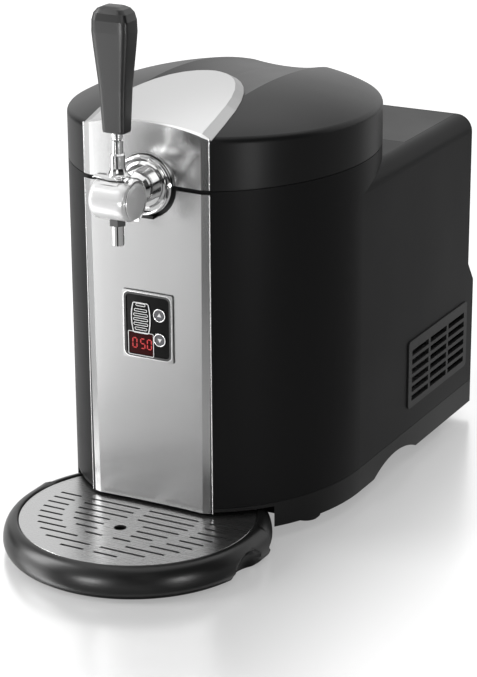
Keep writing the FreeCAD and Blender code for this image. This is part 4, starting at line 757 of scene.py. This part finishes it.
def near_footprint(tree):
    """How much the polish shows: most beside the dispenser, nothing beyond its reach."""
    moved = vectors(tree, "SUBTRACT", object_place(tree), FOOT_MIDDLE)
    beyond = vectors(tree, "SUBTRACT", vectors(tree, "ABSOLUTE", moved), FOOT_HALF)
    outside = vectors(tree, "MAXIMUM", beyond, (0, 0, 0))
    apart = vectors(tree, "LENGTH", outside)
    return eased_range(tree, apart, 0.0, POLISH_REACH, POLISH, 0.0)


def left_glow(tree):
    """Strength of the floor as the front mirrors it: high on its left side, low on its right."""
    across = vectors(tree, "DOT_PRODUCT", object_place(tree), MIRRORED_WAY)
    return eased_range(tree, across, 0.0, MIRRORED_FALL, FLOOR_LEFT, FLOOR_RIGHT)


def far_glow(tree):
    """Strength of the floor as the camera sees it: makes up for the lamps' fall-off far away."""
    apart = vectors(tree, "LENGTH", object_place(tree))
    return eased_range(tree, apart, FAR_START, FAR_END, FLOOR_GLOW, 1.0)


def glowing(tree, strength):
    item = add(tree, "ShaderNodeEmission", Color=WHITE)
    wire(tree, strength, item.inputs["Strength"])
    return item


def make_floor():
    """A polished white floor: soft shadow, blurred mirror image, white where nothing stands."""
    mesh = bpy.data.meshes.new("floor")
    form = bmesh.new()
    bmesh.ops.create_grid(form, x_segments=1, y_segments=1, size=FLOOR_HALF)
    form.to_mesh(mesh)
    form.free()
    floor = bpy.data.objects.new("floor", mesh)
    bpy.context.scene.collection.objects.link(floor)
    material = bpy.data.materials.new("floor_white")
    material.use_nodes = True
    tree = material.node_tree
    tree.nodes.remove(tree.nodes["Principled BSDF"])
    matt = add(tree, "ShaderNodeBsdfDiffuse", Color=(0.5, 0.5, 0.5, 1))
    unlit = add(tree, "ShaderNodeEmission", Strength=0.0)
    in_mirrors = ray_is(tree, "Is Glossy Ray", "Is Transmission Ray")
    glow = mixed(tree, in_mirrors, unlit, glowing(tree, left_glow(tree)))
    glow = mixed(tree, ray_is(tree, "Is Camera Ray"), glow, glowing(tree, far_glow(tree)))
    white = add(tree, "ShaderNodeAddShader")
    wire(tree, matt.outputs[0], white.inputs[0])
    wire(tree, glow.outputs[0], white.inputs[1])
    polish = add(tree, "ShaderNodeBsdfGlossy", Color=(0.95, 0.95, 0.95, 1), Roughness=0.23)
    total = mixed(tree, near_footprint(tree), white, polish)
    wire(tree, total.outputs[0], tree.nodes["Material Output"].inputs["Surface"])
    mesh.materials.append(material)


def front_sky(tree, ways):
    """Strength of the mirrored sky in front: falls from left to right, with the dim band."""
    side = eased_range(tree, ways.outputs["X"], *SKY_SIDES, SKY_LEFT, SKY_RIGHT)
    off_level = maths(tree, "ABSOLUTE", maths(tree, "SUBTRACT", ways.outputs["Z"], DIM_LEVEL))
    band = eased_range(tree, off_level, *DIM_SPREAD, DIM_SHARE, 1.0)
    return maths(tree, "MULTIPLY", side, band)


def make_sky():
    """White to the camera; in mirror images it is white behind and shaded across in front."""
    world = bpy.data.worlds.new("studio")
    world.use_nodes = True
    tree = world.node_tree
    light = tree.nodes["Background"]
    light.inputs["Color"].default_value = WHITE
    light.inputs["Strength"].default_value = SKY_LIGHT
    white = add(tree, "ShaderNodeBackground", Color=WHITE, Strength=1.0)
    front = add(tree, "ShaderNodeBackground", Color=WHITE)
    ways = add(tree, "ShaderNodeSeparateXYZ")
    wire(tree, add(tree, "ShaderNodeTexCoord").outputs["Generated"], ways.inputs[0])
    wire(tree, front_sky(tree, ways), front.inputs["Strength"])
    behind = eased_range(tree, ways.outputs["Y"], *SKY_BEHIND, 0.0, 1.0)
    metal = mixed(tree, behind, front, white)
    in_mirrors = ray_is(tree, "Is Glossy Ray", "Is Transmission Ray")
    near = mixed(tree, in_mirrors, light, metal)
    total = mixed(tree, ray_is(tree, "Is Camera Ray"), near, white)
    wire(tree, total.outputs[0], tree.nodes["World Output"].inputs["Surface"])
    bpy.context.scene.world = world


make_floor()
make_sky()


# ---------------------------------------------------------------- lamps and black cards

def facing(place, aim):
    """The turn that points an object's own -Z from its place at the aim."""
    return (Vector(aim) - Vector(place)).to_track_quat("-Z", "Y")


def softbox(name, place, aim, size, power, highlight_only=False):
    """A lamp of (width, height); one for highlights lights no matt surface."""
    data = bpy.data.lights.new(name, "AREA")
    data.shape = "RECTANGLE"
    data.size, data.size_y = size
    data.energy = power
    lamp = bpy.data.objects.new(name, data)
    lamp.location = place
    lamp.rotation_euler = facing(place, aim).to_euler()
    lamp.visible_diffuse = not highlight_only
    bpy.context.scene.collection.objects.link(lamp)


flag_black = moulded("flag_black", grey(0.01), 0.9, 0.0)


def flag(name, place, aim, size):
    """A black card that is seen in mirror images only."""
    form = bmesh.new()
    bmesh.ops.create_grid(form, x_segments=1, y_segments=1, size=0.5)
    bmesh.ops.scale(form, vec=(size[0], size[1], 1), verts=form.verts)
    bmesh.ops.rotate(form, cent=(0, 0, 0), matrix=facing(place, aim).to_matrix(),
                     verts=form.verts)
    bmesh.ops.translate(form, vec=place, verts=form.verts)
    mesh = bpy.data.meshes.new(name)
    form.to_mesh(mesh)
    form.free()
    mesh.materials.append(flag_black)
    card = bpy.data.objects.new(name, mesh)
    bpy.context.scene.collection.objects.link(card)
    card.visible_camera = card.visible_diffuse = card.visible_shadow = False


# Each has its name, place, aim and (width, height); a lamp has its power in watts, too.
LAMPS = (
    ("key_left", (-1.9, -1.1, 1.3), (0, 0, 0.2), (1.0, 1.8), 38),
    ("top", (0.1, 0.3, 2.2), (0, 0.05, 0.2), (2.6, 2.6), 21),
    ("front_fill", (0.9, -2.4, 1.2), (0, 0, 0.2), (1.2, 1.2), 8),
    ("low_card", (-0.25, -0.33, 0.18), (-0.05, -0.12, 0.18), (0.18, 0.42), 0.65),
    ("nose_front", (-0.25, -1.8, 0.10), (0.02, -0.25, 0.02), (0.40, 0.20), 9.0, True),
    ("nose_right", (1.35, -0.80, 0.10), (0.09, -0.22, 0.02), (0.28, 0.18), 3.5, True))
FLAGS = (
    ("flag_right", (0.14, -0.50, 0.19), (0.05, -0.12, 0.3), (0.14, 0.22)),
    ("flag_fascia", (-0.098, -0.33, 0.268), (0.02, -0.13, 0.34), (0.07, 0.055)))

for lamp in LAMPS:
    softbox(*lamp)
for card in FLAGS:
    flag(*card)

bpy.context.scene.view_settings.view_transform = "Standard"
